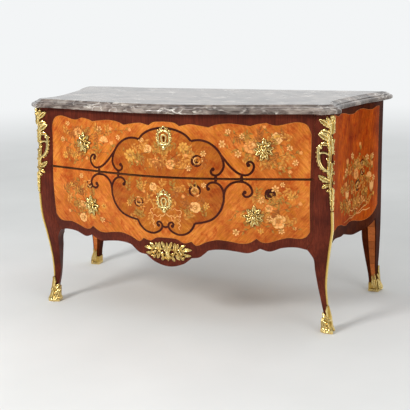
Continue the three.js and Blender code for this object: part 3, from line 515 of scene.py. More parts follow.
def add_slab(sheet, top, bottom, slot=0, edge_slot=None, relief=None, **rest):
    """Closes an upper and a lower grid of points into a shell; its UV follow the grid."""
    rows, columns = len(top), len(top[0])
    count = rows * columns
    edge_slot = slot if edge_slot is None else edge_slot
    faces, slots = [], []
    for r in range(rows - 1):
        for i in range(r * columns, (r + 1) * columns - 1):
            faces.append([i, i + 1, i + columns + 1, i + columns])
            faces.append([count + i, count + i + columns, count + i + columns + 1, count + i + 1])
            slots += [slot, edge_slot]
    last = (rows - 1) * columns
    rim = list(range(columns)) + [r * columns + columns - 1 for r in range(1, rows)]
    rim += [last + c for c in range(columns - 2, -1, -1)] + [r * columns for r in range(rows - 2, 0, -1)]
    for i, j in zip(rim, rim[1:] + rim[:1]):
        faces.append([j, i, count + i, count + j])
        slots.append(edge_slot)
    uv = [(c / (columns - 1), r / (rows - 1)) for r in range(rows) for c in range(columns)] * 2
    if relief:
        relief = [value for row in relief for value in row] + [0.0] * count
    add_shell(sheet, [*top, *bottom], faces, slots, uv=uv, relief=relief, **rest)


def lay(spot, rows, top_lift, bottom_lift):
    """The upper and lower grids of a veneer whose rows of places lie on a surface."""
    return [[[spot(a, b, lift) for a, b in row] for row in rows] for lift in (top_lift, bottom_lift)]


tulipwood_stops = [
    (0.0, "#8a4016"), (0.25, "#b35a1f"), (0.5, "#cf742d"), (0.75, "#e08b3e"), (1.0, "#eea659"),
]
# tulipwood painted lighter for the back legs' fronts: painted light, as they stand in the shade under the
# case
brightened_crosswise_tulipwood = wood(
    "crossbanded_tulipwood", [(0, "#9c4a20"), (0.4, "#c66b33"), (0.75, "#dc8344"), (1, "#e9995b")],
    0.0035, 0.06, "Y",
)
# the polish on the sides and back of the chest has worn dull
dull = {"polish": 0, "gloss": 0.008}
# kingwood of the sides and back posts, painted darker than the front's: painted shade for the faces turned
# from the light
side_kingwood = wood(
    "side_kingwood",
    [(0, "#200a03"), (0.35, "#44190a"), (0.65, "#5c2810"), (0.9, "#77391a"), (1, "#8a4a25")],
    0.0042, 0.12, "Z", **dull,
)
strip_draw = random.Random(11)
for hand, side in sides:
    sheet = new_sheet()
    heights = steps(leg_bottom, apron_height, 48) + steps(apron_height, body_top, 40)[1:]
    add_loft(sheet, [back_post_ring(z) for z in heights], hand=hand)
    joints = steps(strip_bottom, strip_top, strip_count)
    for bottom, top in zip(joints, joints[1:]):
        tone = strip_draw.uniform(-0.5, 0.4)
        lengths = steps(bottom + strip_joint / 2, top - strip_joint / 2, 3)
        reaches = steps(strip_edge, strip_edge + strip_reach, 4)
        rows = [[(reach * back_inner(z / apron_height), z) for reach in reaches] for z in lengths]
        add_slab(sheet, *lay(back_front_spot, rows, veneer_rise, -veneer_rise), slot=1, tone=tone, hand=hand)
    settle(make_piece(f"{side}_back_post_veneered", sheet, [side_kingwood, brightened_crosswise_tulipwood]), "carcass",
           [f"back_{side}_post"])


# The side panels, bombé boards between the posts with a scalloped lower edge. Kingwood frames a field
# of tulipwood which starts at the front arris, with its grain leaning forwards.
panel_thickness = 0.018
panel_gap = 0.0003
apron_drop = 0.088
back_post_front = body_back - back_post_depth
# share of the panel's depth and of the apron's drop
side_apron_tables = [
    [(0, 0.01), (0.16, -0.09), (0.323, 0.02)],
    [(0.323, 0.02), (0.365, 0.03), (0.407, -0.01)],
    [(0.407, -0.01), (0.58, 0.24), (0.69, 0.25), (0.85, 0.125), (1, -0.1)],
]


def metres(table):
    """A number of millimetres, or every number in a nested table of them, in metres."""
    if isinstance(table, (list, tuple)):
        return type(table)(metres(row) for row in table)
    return table / 1000


# depth and height of the field's lower and upper edges
side_field_low = metres([
    [(-236, 418), (-222, 404), (-170, 393), (-125, 392)],
    [(-125, 392), (-100, 397), (-45, 390), (0, 376), (20, 372)],
    [(20, 372), (50, 381), (92, 378), (140, 366), (198, 361), (260, 378), (311.5, 404)],
])
side_field_high = metres([
    [(-236, 842), (-190, 842), (-140, 829), (-96, 822)],
    [(-96, 822), (-60, 828), (-17, 825), (30, 816), (79, 814)],
    [(79, 814), (110, 824), (152, 827), (200, 819), (232, 817)], [(232, 817), (270, 825), (311.5, 824)],
])
side_field_front = -0.236
side_field_back = 0.3115
arris_border = 0.003


def side_spot(y, z, lift):
    """A place on the right side of the body, stood off by the lift along the surface's normal."""
    step = 0.001
    slope_y = (side_x(y + step, z) - side_x(y - step, z)) / (2 * step)
    slope_z = (side_x(y, z + step) - side_x(y, z - step)) / (2 * step)
    normal = np.array((1, -slope_y, -slope_z))
    return np.array((side_x(y, z), y, z)) + normal * lift / np.linalg.norm(normal)


def scallop(tables):
    """One outline from smooth tables that meet in cusps."""
    pieces = [(table[-1][0], smooth_table(table)) for table in tables]

    def value(place):
        for end, piece in pieces[:-1]:
            if place <= end:
                return piece(place)
        return pieces[-1][1](place)

    return value


def scallop_stops(tables, step=0.012):
    """Places along an outline, about a step apart, with one at each cusp."""
    stops = [tables[0][0][0]]
    for table in tables:
        count = max(ceil((table[-1][0] - table[0][0]) / step), 2)
        stops += steps(table[0][0], table[-1][0], count)[1:]
    return stops


side_apron = scallop(side_apron_tables)
panel_front = knee_rear + panel_gap
panel_back = back_post_front - panel_gap


def panel_rows(rows=30):
    columns = []
    for share in scallop_stops(side_apron_tables, 0.02):
        y = panel_front + (panel_back - panel_front) * share
        low = apron_height - apron_drop * side_apron(share)
        columns.append([(y, z) for z in steps(low, body_top, rows)])
    return columns


def side_field_place(y, share, low, high):
    """A place on the side's field; towards the front it is drawn along to follow the arris."""
    z = low + (high - low) * share
    forward = max((side_field_back - y) / (side_field_back - side_field_front), 0)
    return (y + (arris_y(z) + arris_border - side_field_front) * forward ** 3, z)


field_low, field_high = scallop(side_field_low), scallop(side_field_high)
side_tulipwood = wood(
    "leaning_tulipwood",
    [(0, "#6c2305"), (0.3, "#a23f0a"), (0.6, "#d05c12"), (0.85, "#ea781e"), (1, "#f79032")],
    0.006, 0.09, "Z", turn=(radians(-14), 0, 0), mottle=0.6, **dull,
)
for hand, side in sides:
    sheet = new_sheet()
    outer = [[np.array((side_x(y, z), y, z)) for y, z in row] for row in panel_rows()]
    inner = [[point - (panel_thickness, 0, 0) for point in row] for row in outer]
    add_slab(sheet, outer, inner, edge_slot=1, hand=hand)
    stops = sorted(set(scallop_stops(side_field_low) + scallop_stops(side_field_high)))
    rows = [
        [side_field_place(y, share, field_low(y), field_high(y)) for share in steps(0, 1, 36)] for y in stops
    ]
    add_slab(sheet, *lay(side_spot, rows, veneer_rise, -veneer_rise), slot=2, hand=hand)
    piece = make_piece(f"{side}_side_panel_veneered", sheet, [side_kingwood, oak_long, side_tulipwood])
    settle(piece, "carcass", [f"{side}_side_panel"])


# The two drawer fronts, oak boards 26 mm thick sawn to the double curve. Kingwood frames a field of
# tulipwood, quartered so that its grain slants down away from the middle, round a cartouche of darker
# tulipwood that the meeting line cuts. The lock's keyhole goes right through.
front_thickness = 0.026
drawer_half = 0.547
knee_tip_half = 0.525
upper_front_bottom = 0.60952
upper_front_top = 0.8445
lower_front_top = 0.60652
upper_keyhole = 0.7557
lower_keyhole = 0.51702
keyhole_radius = 0.0042
keyhole_slot = 0.0044
keyhole_drop = 0.014
keyhole_saw_reach = 0.05
field_half = 0.537
# share of the half width and of the apron's drop
apron_tables = [
    [(-0.114, 0.83), (0, 1), (0.114, 0.83), (0.181, 0.52)],
    [(0.181, 0.52), (0.238, 0.466), (0.27, 0.33), (0.31, 0.125), (0.41, 0.057), (0.509, 0.125),
     (0.59, 0.193), (0.648, 0.08), (0.676, -0.023)],
    [(0.676, -0.023), (0.743, 0.102), (0.829, -0.068), (0.928, -0.102), (1, 0)],
]
# distance from the middle and height: the upper field's top edge, then the lower field's bottom edge
upper_field_tables = metres([
    [(0, 816), (43, 812), (62, 800)], [(62, 800), (100, 808), (140, 803), (172, 797)],
    [(172, 797), (200, 807), (245, 812), (300, 806), (323, 802)], [(323, 802), (345, 809), (378, 814)],
    [(378, 814), (400, 806), (420, 804), (455, 811), (485, 816), (510, 812), (526, 800), (537, 772)],
])
lower_field_tables = metres([
    [(0, 370), (42, 367), (70, 352), (100, 360)],
    [(100, 360), (118, 344), (155, 360), (200, 371), (248, 366), (283, 359), (315, 361), (345, 379)],
    [(345, 379), (360, 366), (385, 363), (425, 376), (460, 384), (500, 381), (522, 388), (537, 408)],
])
# the same for the two halves of the cartouche: its outer edge, then the edge nearer the meeting line
upper_cartouche_outer = metres([
    [(0, 793), (30, 790), (61, 781), (88, 766), (106, 746)],
    [(106, 746), (138, 749), (169, 743), (198, 722), (221, 690), (228, 662)],
])
upper_cartouche_inner = metres([
    [(0, 609.5), (185, 609.5)], [(185, 609.5), (205, 620), (220, 636), (228, 655)],
])
lower_cartouche_outer = metres([
    [(0, 417), (14, 408), (26, 397), (52, 385), (81, 390), (106, 411), (118, 434)],
    [(118, 434), (140, 438), (184, 452), (211, 479), (225, 510), (229, 545)],
])
lower_cartouche_inner = metres([
    [(0, 606.5), (185, 606.5)], [(185, 606.5), (205, 594), (220, 577), (229, 553)],
])
cartouche_rise = 0.0005


def front_spot(x, z, lift):
    """A place on the bowed front, stood off by the lift along the surface's normal."""
    step = 0.001
    slope_x = (front_y(x + step, z) - front_y(x - step, z)) / (2 * step)
    slope_z = (front_y(x, z + step) - front_y(x, z - step)) / (2 * step)
    normal = np.array((slope_x, -1, slope_z))
    return np.array((x, front_y(x, z), z)) + normal * lift / np.linalg.norm(normal)


def both_sides(half):
    """Places from left to right out of those on the right half."""
    return [-x for x in reversed(half) if x > 0] + list(half)


def between(low, high, places, count):
    return [[(x, low(abs(x)) + (high(abs(x)) - low(abs(x))) * s) for s in steps(0, 1, count)] for x in places]


def bake(piece):
    """Replaces a piece's mesh by the result of its modifiers, and drops them."""
    graph = bpy.context.evaluated_depsgraph_get()
    mesh = bpy.data.meshes.new_from_object(piece.evaluated_get(graph))
    piece.modifiers.clear()
    piece.data = mesh


def cut_keyhole(piece, height):
    """Saws a keyhole through a piece: a round with a slot below it."""
    slot = keyhole_slot / 2
    start = -acos(slot / keyhole_radius)
    outline = [(-slot, -keyhole_drop), (slot, -keyhole_drop)]
    for angle in steps(start, pi - start, 20):
        outline.append((keyhole_radius * cos(angle), keyhole_radius * sin(angle)))
    ends = (belly_y - keyhole_saw_reach, belly_y + keyhole_saw_reach)
    sheet = new_sheet()
    add_loft(sheet, [[(x, y, height + z) for x, z in outline] for y in ends])
    cutter = make_piece("keyhole_cutter", sheet, [])
    saw = piece.modifiers.new("keyhole", "BOOLEAN")
    saw.operation = "DIFFERENCE"
    saw.solver = "EXACT"
    saw.object = cutter
    bake(piece)
    bpy.data.objects.remove(cutter)


apron = scallop(apron_tables)


def lower_front_edge(x):
    if x <= knee_tip_half:
        return apron_height - apron_drop * apron(x / knee_tip_half)
    share = (x - knee_tip_half) / (drawer_half - knee_tip_half)
    return apron_height + (knee_top - apron_height) * share


def flat(height):
    """A height, or another measure, that stays the same all along."""
    return lambda x: height


# both veneers turn with the meeting line, like the leaves of a book
quartered = {"rough": 0.32, "polish": 0.05, "pores": 0.22, "mirror_height": meeting_height, "mottle": 0.75}
quartered_tulipwood = wood("quartered_tulipwood", tulipwood_stops, 0.0075, 0.1, "Z",
                           turn=(0, radians(-42), 0), **quartered)
cartouche_tulipwood = wood(
    "cartouche_tulipwood",
    [(0, "#7c3811"), (0.3, "#a3541b"), (0.6, "#be6b25"), (0.85, "#d18233"), (1, "#e1994b")],
    0.006, 0.07, "Z", turn=(0, radians(38), 0), **quartered,
)
apron_stops = [x * knee_tip_half for x in scallop_stops(apron_tables) if x >= 0]
front_stops = steps(0, drawer_half, 56)
field_step = 0.01
cartouche_step = 0.008
# each level's keyhole, then the places across and the lower and upper edge of its board, field and cartouche
drawers = [
    ("upper", upper_keyhole,
     (front_stops, flat(upper_front_bottom), flat(upper_front_top)),
     (scallop_stops(upper_field_tables, field_step), flat(upper_front_bottom), scallop(upper_field_tables)),
     (scallop_stops(upper_cartouche_outer, cartouche_step), scallop(upper_cartouche_inner),
      scallop(upper_cartouche_outer))),
    ("lower", lower_keyhole,
     (apron_stops + [drawer_half], lower_front_edge, flat(lower_front_top)),
     (scallop_stops(lower_field_tables, field_step), scallop(lower_field_tables), flat(lower_front_top)),
     (scallop_stops(lower_cartouche_outer, cartouche_step), scallop(lower_cartouche_outer),
      scallop(lower_cartouche_inner))),
]
for level, keyhole, *outlines in drawers:
    body = f"{level}_drawer"
    board, field, cartouche = (
        between(low, high, both_sides(places), rows_up)
        for (places, low, high), rows_up in zip(outlines, (30, 26, 20))
    )
    face = [[np.array((x, front_y(x, z), z)) for x, z in row] for row in board]
    rear = [[point + (0, front_thickness, 0) for point in row] for row in face]
    for name, grids, woods, replaced in (
        (f"{body}_front_veneered", (face, rear), [kingwood, oak_long], [f"{body}_front"]),
        (f"{body}_field", lay(front_spot, field, veneer_rise, -veneer_rise), [quartered_tulipwood], []),
        (f"{body}_cartouche", lay(front_spot, cartouche, cartouche_rise, 0), [cartouche_tulipwood], []),
    ):
        sheet = new_sheet()
        add_slab(sheet, *grids, edge_slot=len(woods) - 1)
        piece = make_piece(name, sheet, woods)
        cut_keyhole(piece, keyhole)
        settle(piece, body, replaced)


# The scrolls round the cartouche, sawn from dark amaranth in bands 8.5 mm wide and let into the field.
# Each band is cut along its curve and ends in a round eye. Ties join them at the meeting line, whose
# two edges have dark bands of the same wood.
scroll_width = 0.0085
eye_radius = 0.0071
eye_step = 0.00003
meeting_band = 0.0026
scroll_rise = 0.00108
tie_reach = 0.012
tie_widths = [0.015, 0.011, 0.009, 0.007]
tie_places = (0.2, 0.294)
# distance from the middle and height, along each band of the right half
upper_arch = metres([(0, 793), (30, 790), (61, 781), (88, 766), (106, 746)])
upper_bands = metres([
    [(106, 746), (122, 749.5), (145, 749.5), (172, 741), (198, 722), (218, 694), (228, 662), (224, 641),
      (210, 624), (195, 620.5), (184, 627), (182, 638), (189, 643)], [(216, 697), (231, 679), (249, 657),
      (270, 637), (293, 624.5), (315, 623.5), (331, 636), (337, 654), (331, 668), (320, 672), (312, 665),
      (317, 659)],
])
lower_bands = metres([
    [(229.5, 540), (233.5, 562), (242, 578), (258, 592), (281, 598.5), (306, 595.5), (326, 580), (333, 560),
      (325, 546), (310, 542), (300, 552), (306, 559)], [(118, 434), (155, 441), (188, 455), (214, 483),
      (227, 515), (230.5, 545), (227, 566), (215, 585), (196, 594.5), (178, 591.5), (168, 580), (173, 570)],
    [(118, 434), (106, 411), (85, 392), (55, 385), (28, 395), (14, 411), (15, 427), (26, 434), (34, 426),
      (29, 419)],
])
lower_link = metres([(-14, 417), (0, 413), (14, 417)])

amaranth = wood(
    "varnished_amaranth", [(0, "#260d08"), (0.4, "#41180d"), (0.8, "#5b2614"), (1, "#70371f")],
    0.0035, 0.05, "X", rough=0.32, polish=0.1,
)


def towards(angle):
    """The unit step in a direction."""
    return np.array((cos(angle), sin(angle)))


def smooth_path(points, per_span=5):
    """A smooth curve through given places."""
    spots = [np.array(point, float) for point in (points[0], *points, points[-1])]
    path = []
    for before, start, end, after in zip(spots, spots[1:], spots[2:], spots[3:]):
        leave, arrive = (end - before) / 2, (after - start) / 2
        for t in steps(0, 1, per_span)[:-1]:
            path.append(
                (2 * start - 2 * end + leave + arrive) * t ** 3
                + (3 * end - 3 * start - 2 * leave - arrive) * t * t + leave * t + start
            )
    return path + [spots[-1]]


def across(path):
    """The direction across a path at each of its places, as a unit pair."""
    turned = []
    for before, after in zip([path[0], *path[:-1]], [*path[1:], path[-1]]):
        run = np.subtract(after, before)
        turned.append(np.array((-run[1], run[0])) / max(hypot(*run), 1e-9))
    return turned


def band(path, widths, shares=(-0.5, 0, 0.5)):
    """Rows of places across a path, as wide as the widths say."""
    return [
        [tuple(place + side * width * share) for share in shares]
        for place, side, width in zip(path, across(path), widths)
    ]


def scroll_band(sheet, points, hands, eye=True):
    path = smooth_path(points)
    for hand in hands:
        add_slab(sheet, *lay(front_spot, band(path, [scroll_width] * len(path)), scroll_rise, 0), hand=hand)
        if eye:
            rim = [path[-1] + towards(angle) * eye_radius for angle in steps(0, 2 * pi, 24)[:-1]]
            disc = [[front_spot(*place, lift) for place in rim] for lift in (0, scroll_rise + eye_step)]
            add_loft(sheet, disc, hand=hand)


upper_link = [(-x, z) for x, z in reversed(upper_arch[1:])] + upper_arch
# each level's bands, the band across its middle, the edge of its front and the way into the front
for level, bands, link, edge, inwards in (
    ("upper", upper_bands, upper_link, upper_front_bottom, 1),
    ("lower", lower_bands, lower_link, lower_front_top, -1),
):
    sheet = new_sheet()
    for points in bands:
        scroll_band(sheet, points, (-1, 1))
    scroll_band(sheet, link, (1,), eye=False)
    for x in tie_places:
        tie = [np.array((x, z)) for z in steps(edge, edge + inwards * tie_reach, 3)]
        for hand in (-1, 1):
            add_slab(sheet, *lay(front_spot, band(tie, tie_widths), scroll_rise, 0), hand=hand)
    rows = between(flat(edge), flat(edge + inwards * meeting_band), both_sides(front_stops), 1)
    add_slab(sheet, *lay(front_spot, rows, scroll_rise - eye_step, 0))
    settle(make_piece(f"{level}_drawer_scrolls", sheet, [amaranth]), f"{level}_drawer")


# The flowers, sawn petal by petal from light and dark veneers and let into the fields: roses,
# carnations, dark-ringed blossoms, buds and leafy stems. Each petal is scorched in hot sand at its
# foot, which shades it, and the glue line round it shows dark.
inlay_rise = 0.0007
inlay_step = 0.00004
inlay_layers = 9
stem_width = 0.0015
spray_step = 0.014
spray_leaf = 0.019
spray_stem_width = 0.0007
petal_steps = 6
arc_steps = 14
# share of the length and share of the width
petal_table = smooth_table([(0, 0.3), (0.25, 0.72), (0.6, 1), (0.85, 0.86), (1, 0.35)])
leaf_table = smooth_table([(0, 0.1), (0.2, 0.62), (0.45, 1), (0.75, 0.58), (1, 0.04)])
tooth_table = smooth_table([(0, 0.2), (0.5, 0.6), (0.85, 1), (1, 0.7)])
bloom_draw = random.Random(23)


def inlay(name, stops, scorch, polish=0.05, gloss=0.09):
    """A marquetry veneer: fine grain, a scorched foot along v and a dark glue line on both sides of u."""
    material, add = new_material(name)
    place = add("ShaderNodeTexCoord")
    across_along = add("ShaderNodeSeparateXYZ", {0: place.outputs["UV"]})
    streaks = add("ShaderNodeMapping", {
        "Vector": place.outputs["Object"], "Rotation": (0, radians(31), 0), "Scale": (0.0012, 0.01, 0.011),
    }, vector_type="TEXTURE")
    grain = add("ShaderNodeTexNoise", {"Vector": streaks, "Scale": 1, "Detail": 4, "Roughness": 0.6})
    colours = add("ShaderNodeValToRGB", {"Fac": grain})
    paint_ramp(colours, stops)
    foot = add("ShaderNodeMapRange", {
        "Value": across_along.outputs["Y"], "From Max": 0.5, "To Min": 0.8, "To Max": 0,
    }, interpolation_type="SMOOTHSTEP")
    scorched = add("ShaderNodeMix", {"Factor": foot, "A": colours, "B": linear(scorch)}, data_type="RGBA")
    off_middle = add("ShaderNodeMath", {0: across_along.outputs["X"], 1: 0.5}, operation="SUBTRACT")
    size = add("ShaderNodeMath", {0: off_middle}, operation="ABSOLUTE")
    line = add("ShaderNodeMapRange", {
        "Value": size, "From Min": 0.36, "From Max": 0.5, "To Max": 0.75,
    }, interpolation_type="SMOOTHSTEP")
    lined = add("ShaderNodeMix", {"Factor": line, "A": scorched, "B": linear(scorch)}, data_type="RGBA")
    shader = add("ShaderNodeBsdfPrincipled", {
        "Base Color": toned(add, lined), "Roughness": 0.34, "Coat Weight": polish, "Coat Roughness": 0.12,
        "Specular IOR Level": gloss,
    })
    add("ShaderNodeOutputMaterial", {"Surface": shader})
    return material


# name, grain colours and scorch
inlay_kinds = [
    ("sycamore_inlay", [(0.25, "#dc9850"), (0.5, "#e8ad68"), (0.75, "#f1c080")], "#a05a24"),
    ("pearwood_inlay", [(0.25, "#d6853f"), (0.5, "#e29650"), (0.75, "#eca864")], "#9f5522"),
    ("boxwood_inlay", [(0.25, "#c98536"), (0.5, "#d69843"), (0.75, "#e0aa54")], "#96591f"),
    ("walnut_inlay", [(0.25, "#7a4018"), (0.5, "#935323"), (0.75, "#a8662f")], "#4c230d"),
    ("rosewood_inlay", [(0.25, "#2c0f0a"), (0.5, "#43190f"), (0.75, "#5a2717")], "#1d0906"),
    ("stained_leaf_inlay", [(0.25, "#95692b"), (0.5, "#a97a34"), (0.75, "#bb8c41")], "#66401a"),
    ("faded_leaf_inlay", [(0.25, "#bb7430"), (0.5, "#cb883c"), (0.75, "#d99a4a")], "#9a5a24"),
    ("brown_leaf_inlay", [(0.25, "#93501f"), (0.5, "#a66029"), (0.75, "#b87034")], "#6f3816"),
]
inlay_woods = [inlay(*kind) for kind in inlay_kinds]
side_inlay_woods = [inlay(f"side_{name}", stops, scorch, **dull) for name, stops, scorch in inlay_kinds]
sycamore, pearwood, boxwood, walnut, rosewood, green_leaf, faded_leaf, brown_leaf = range(len(inlay_kinds))
# the woods of a flower's petals and of its heart
pale, golden, honey, brown = (sycamore, pearwood), (boxwood, sycamore), (boxwood, pearwood), (boxwood, walnut)


def bent(heading, bend, count):
    """Headings that turn evenly through the bend, with the given one in the middle."""
    return [heading + bend * ((i + 0.5) / count - 0.5) for i in range(count)]


def walked(place, headings, length):
    """The places passed from a place on, in equal steps, one for each heading in radians."""
    path = [np.array(place, float)]
    for heading in headings:
        path.append(path[-1] + towards(heading) * length / len(headings))
    return path


class Garden:
    """Lays flowers on one surface, each piece a little above or below its neighbours."""

    def __init__(self, spot):
        self.spot = spot
        self.sheet = new_sheet()
        self.count = 0

    def set(self, rows, wood_slot, tone=0.0):
        self.count += 1
        rise = inlay_rise + inlay_step * (self.count % inlay_layers)
        add_slab(self.sheet, *lay(self.spot, rows, rise, 0), slot=wood_slot, tone=tone)

    def petal(self, place, angle, length, width, wood_slot, table=petal_table, bend=0.0, tone=0.0):
        path = walked(place, bent(angle, bend, petal_steps), length)
        widths = [width * table(share) for share in steps(0, 1, petal_steps)]
        self.set(band(path, widths, (-0.5, -0.2, 0.2, 0.5)), wood_slot, tone)

    def leaf(self, place, angle, length, width, wood_slot=green_leaf, bend=0.0):
        """Two halves of unlike tone either side of the midrib."""
        path = walked(place, bent(angle, bend, petal_steps), length)
        widths = [width * leaf_table(share) for share in steps(0, 1, petal_steps)]
        tone = bloom_draw.uniform(-0.15, 0.2)
        for shares, shade in (((-0.5, -0.25, 0), 0.16), ((0, 0.25, 0.5), -0.16)):
            self.set(band(path, widths, shares), wood_slot, tone + shade)

    def ring(self, place, radius, count, start, length, width, wood_slot, turn):
        """Petals round a place; their start away from it, length and width are shares of the radius."""
        for i in range(count):
            angle = turn + 2 * pi * i / count
            reach = length * radius * bloom_draw.uniform(0.88, 1.1)
            tone = bloom_draw.uniform(-0.14, 0.14)
            self.petal(place + towards(angle) * (start * radius), angle, reach, width * radius, wood_slot,
                       bend=bloom_draw.uniform(-0.4, 0.4), tone=tone)

    def rose(self, place, radius, turn, woods=(pearwood, sycamore)):
        self.ring(place, radius, 7, 0.3, 0.7, 0.92, woods[0], turn)
        self.ring(place, radius, 6, 0.12, 0.56, 0.66, woods[1], turn + 0.5)
        self.ring(place, radius, 4, 0.02, 0.34, 0.4, woods[0], turn + 0.9)

    def carnation(self, place, radius, turn, woods=pale):
        foot = place - towards(turn) * 0.5 * radius
        for i in range(9):
            length = radius * (1.5 - 0.05 * abs(i - 4))
            self.petal(foot, turn + (i - 4) * 0.3, length, 0.42 * radius, woods[i % 2], tooth_table)
        for i in range(5):
            angle = turn + (i - 2) * 0.34
            self.petal(foot, angle, 0.85 * radius, 0.32 * radius, woods[(i + 1) % 2], tooth_table)
        self.leaf(foot - towards(turn) * 0.35 * radius, turn, 0.6 * radius, 0.4 * radius, walnut)

    def ringed(self, place, radius, turn):
        """A dark blossom with pale crescents inside its rim."""
        for start, reach, share, width, wood_slot in (
            (0, 5.2, 0.84, 0.4, rosewood), (0.35, 3.4, 0.52, 0.22, sycamore),
            (3.9, 1.9, 0.46, 0.14, sycamore), (0.6, 4.4, 0.24, 0.42, rosewood),
            (5.3, 0.9, 0.88, 0.22, sycamore),
        ):
            arc = [place + towards(turn + a) * share * radius for a in steps(start, start + reach, arc_steps)]
            widths = [
                radius * width * sin(pi * (0.1 + 0.8 * i / arc_steps)) * (1 + 0.16 * sin(2.4 * i))
                for i in range(arc_steps + 1)
            ]
            self.set(band(arc, widths), wood_slot)

    def star(self, place, radius, turn, woods=(sycamore, boxwood), count=6):
        self.ring(place, radius, count, 0.16, 0.84, 0.5, woods[0], turn)
        self.ring(place, radius, 4, 0, 0.26, 0.22, woods[1], turn + 0.3)

    def bud(self, place, radius, turn, woods=(pearwood, green_leaf)):
        for bend in (-0.45, 0.45, 0.0):
            self.petal(place, turn + bend * 0.8, 1.5 * radius, 0.72 * radius, woods[0], leaf_table, bend)
        for bend in (-0.7, 0.7):
            self.petal(place, turn + bend, 0.7 * radius, 0.3 * radius, woods[1], leaf_table)

    def stem(self, points, leaf_length, pairs, wood_slot=green_leaf, width=stem_width):
        """A stem through the points, with leaves in turn to either side."""
        path = smooth_path(points, 4)
        self.set(band(path, [width] * len(path)), walnut if wood_slot == green_leaf else wood_slot)
        for i in range(pairs):
            k = int((i + 0.6) / pairs * (len(path) - 1))
            run = path[min(k + 1, len(path) - 1)] - path[k - 1]
            heading = atan2(run[1], run[0])
            side = 1 if i % 2 else -1
            length = leaf_length * bloom_draw.uniform(0.8, 1.15)
            heading += side * bloom_draw.uniform(0.5, 0.9)
            self.leaf(path[k], heading, length, length * 0.42, wood_slot, side * -0.5)

    def spray(self, at, heading):
        """A low-toned spray of leaves, drawn under the blossoms."""
        bend = bloom_draw.uniform(-0.4, 0.4)
        points = [at]
        for _ in range(3):
            points.append(points[-1] + towards(heading) * spray_step)
            heading += bend
        wood_slot = bloom_draw.choice((faded_leaf, faded_leaf, brown_leaf, green_leaf))
        self.stem(points, spray_leaf, 7, wood_slot, spray_stem_width)

    def plant(self, zones, flowers, stems, ribbons=()):
        """Sprays that head for the middle of their zone, then stems, ribbons and flowers over them."""
        for *zone, count in zones:
            x, z, half_across, half_up = metres(zone)
            for i in range(count):
                across_share, up_share = 2 * (i + bloom_draw.random()) / count - 1, bloom_draw.uniform(-1, 1)
                rise = copysign(bloom_draw.uniform(0.3, 1), -up_share)
                run = copysign(bloom_draw.random(), -across_share)
                at = np.array((x + across_share * half_across, z + up_share * half_up))
                self.spray(at, atan2(rise, run))
        for points, leaf_length, pairs in stems:
            self.stem(metres(points), metres(leaf_length), pairs)
        for points, width in ribbons:
            path = smooth_path(metres(points), 5)
            waves = [metres(width) * (0.75 + 0.25 * sin(3.0 * i)) for i in range(len(path))]
            self.set(band(path, waves), sycamore)
        for kind, x, z, radius, turn, *woods in flowers:
            getattr(self, kind)(np.array(metres((x, z))), metres(radius), turn, *woods)


# in millimetres: middle across and up, half width, half height and count of the sprays
upper_zones = [
    (0, 665, 165, 25, 15), (0, 710, 140, 25, 12), (380, 680, 100, 30, 11), (370, 755, 110, 25, 11),
    (-380, 680, 100, 30, 11), (-360, 755, 120, 25, 12),
]
lower_zones = [
    (0, 560, 160, 20, 11), (0, 505, 160, 25, 11), (100, 460, 60, 15, 4), (-100, 460, 60, 15, 4),
    (410, 545, 90, 30, 9), (400, 460, 110, 35, 11), (-410, 530, 80, 35, 8), (-390, 460, 90, 35, 8),
]
side_zones = [(100, 460, 150, 30, 13), (90, 530, 150, 30, 14), (120, 600, 120, 30, 12)]
# in millimetres: kind, place across and up, radius and turn in radians, with the woods and the count of
# petals where they aren't the usual ones; then the points of each stem with its leaf length and count
# of leaves; then the points and width of each ribbon
upper_flowers = [
    ("rose", 27, 657, 19, 0.3), ("rose", -69, 711, 17, 1.1, pale), ("star", -146, 683, 26, 0.2, golden, 9),
    ("ringed", 129, 673, 23, 0.6), ("star", 76, 723, 20, 0.9, honey, 8), ("star", 152, 700, 12, 0.1),
    ("star", -35, 668, 14, 0.5, (pearwood, boxwood)), ("bud", 83, 683, 12, 1.2), ("star", 98, 645, 12, 0.0),
    ("bud", -107, 652, 12, 2.4), ("star", -98, 745, 11, 0.4), ("star", 221, 737, 14, 0.0),
    ("rose", 325, 728, 26, 0.2), ("rose", 417, 757, 22, 0.7, (sycamore, boxwood)),
    ("star", 279, 700, 14, 0.5), ("bud", 422, 657, 13, -0.6), ("bud", 458, 644, 13, -0.9),
    ("star", 243, 783, 11, 0.3), ("star", 293, 765, 12, 0.6), ("star", 462, 722, 11, 0.6),
    ("bud", 491, 703, 12, 0.2), ("star", 484, 668, 12, 0.2), ("bud", 372, 790, 11, 1.5),
    ("rose", -402, 755, 21, 0.4), ("star", -290, 773, 14, 0.1), ("carnation", -270, 732, 17, 1.5),
    ("bud", -228, 711, 15, 1.9), ("bud", -240, 768, 13, 1.2), ("star", -201, 748, 11, 0.7),
    ("bud", -155, 777, 12, 0.3), ("star", -468, 660, 15, 0.2, honey), ("star", -415, 664, 14, 0.9, golden),
    ("bud", -346, 652, 12, 2.8), ("star", -483, 722, 11, 0.5), ("star", -452, 787, 10, 0.2),
]
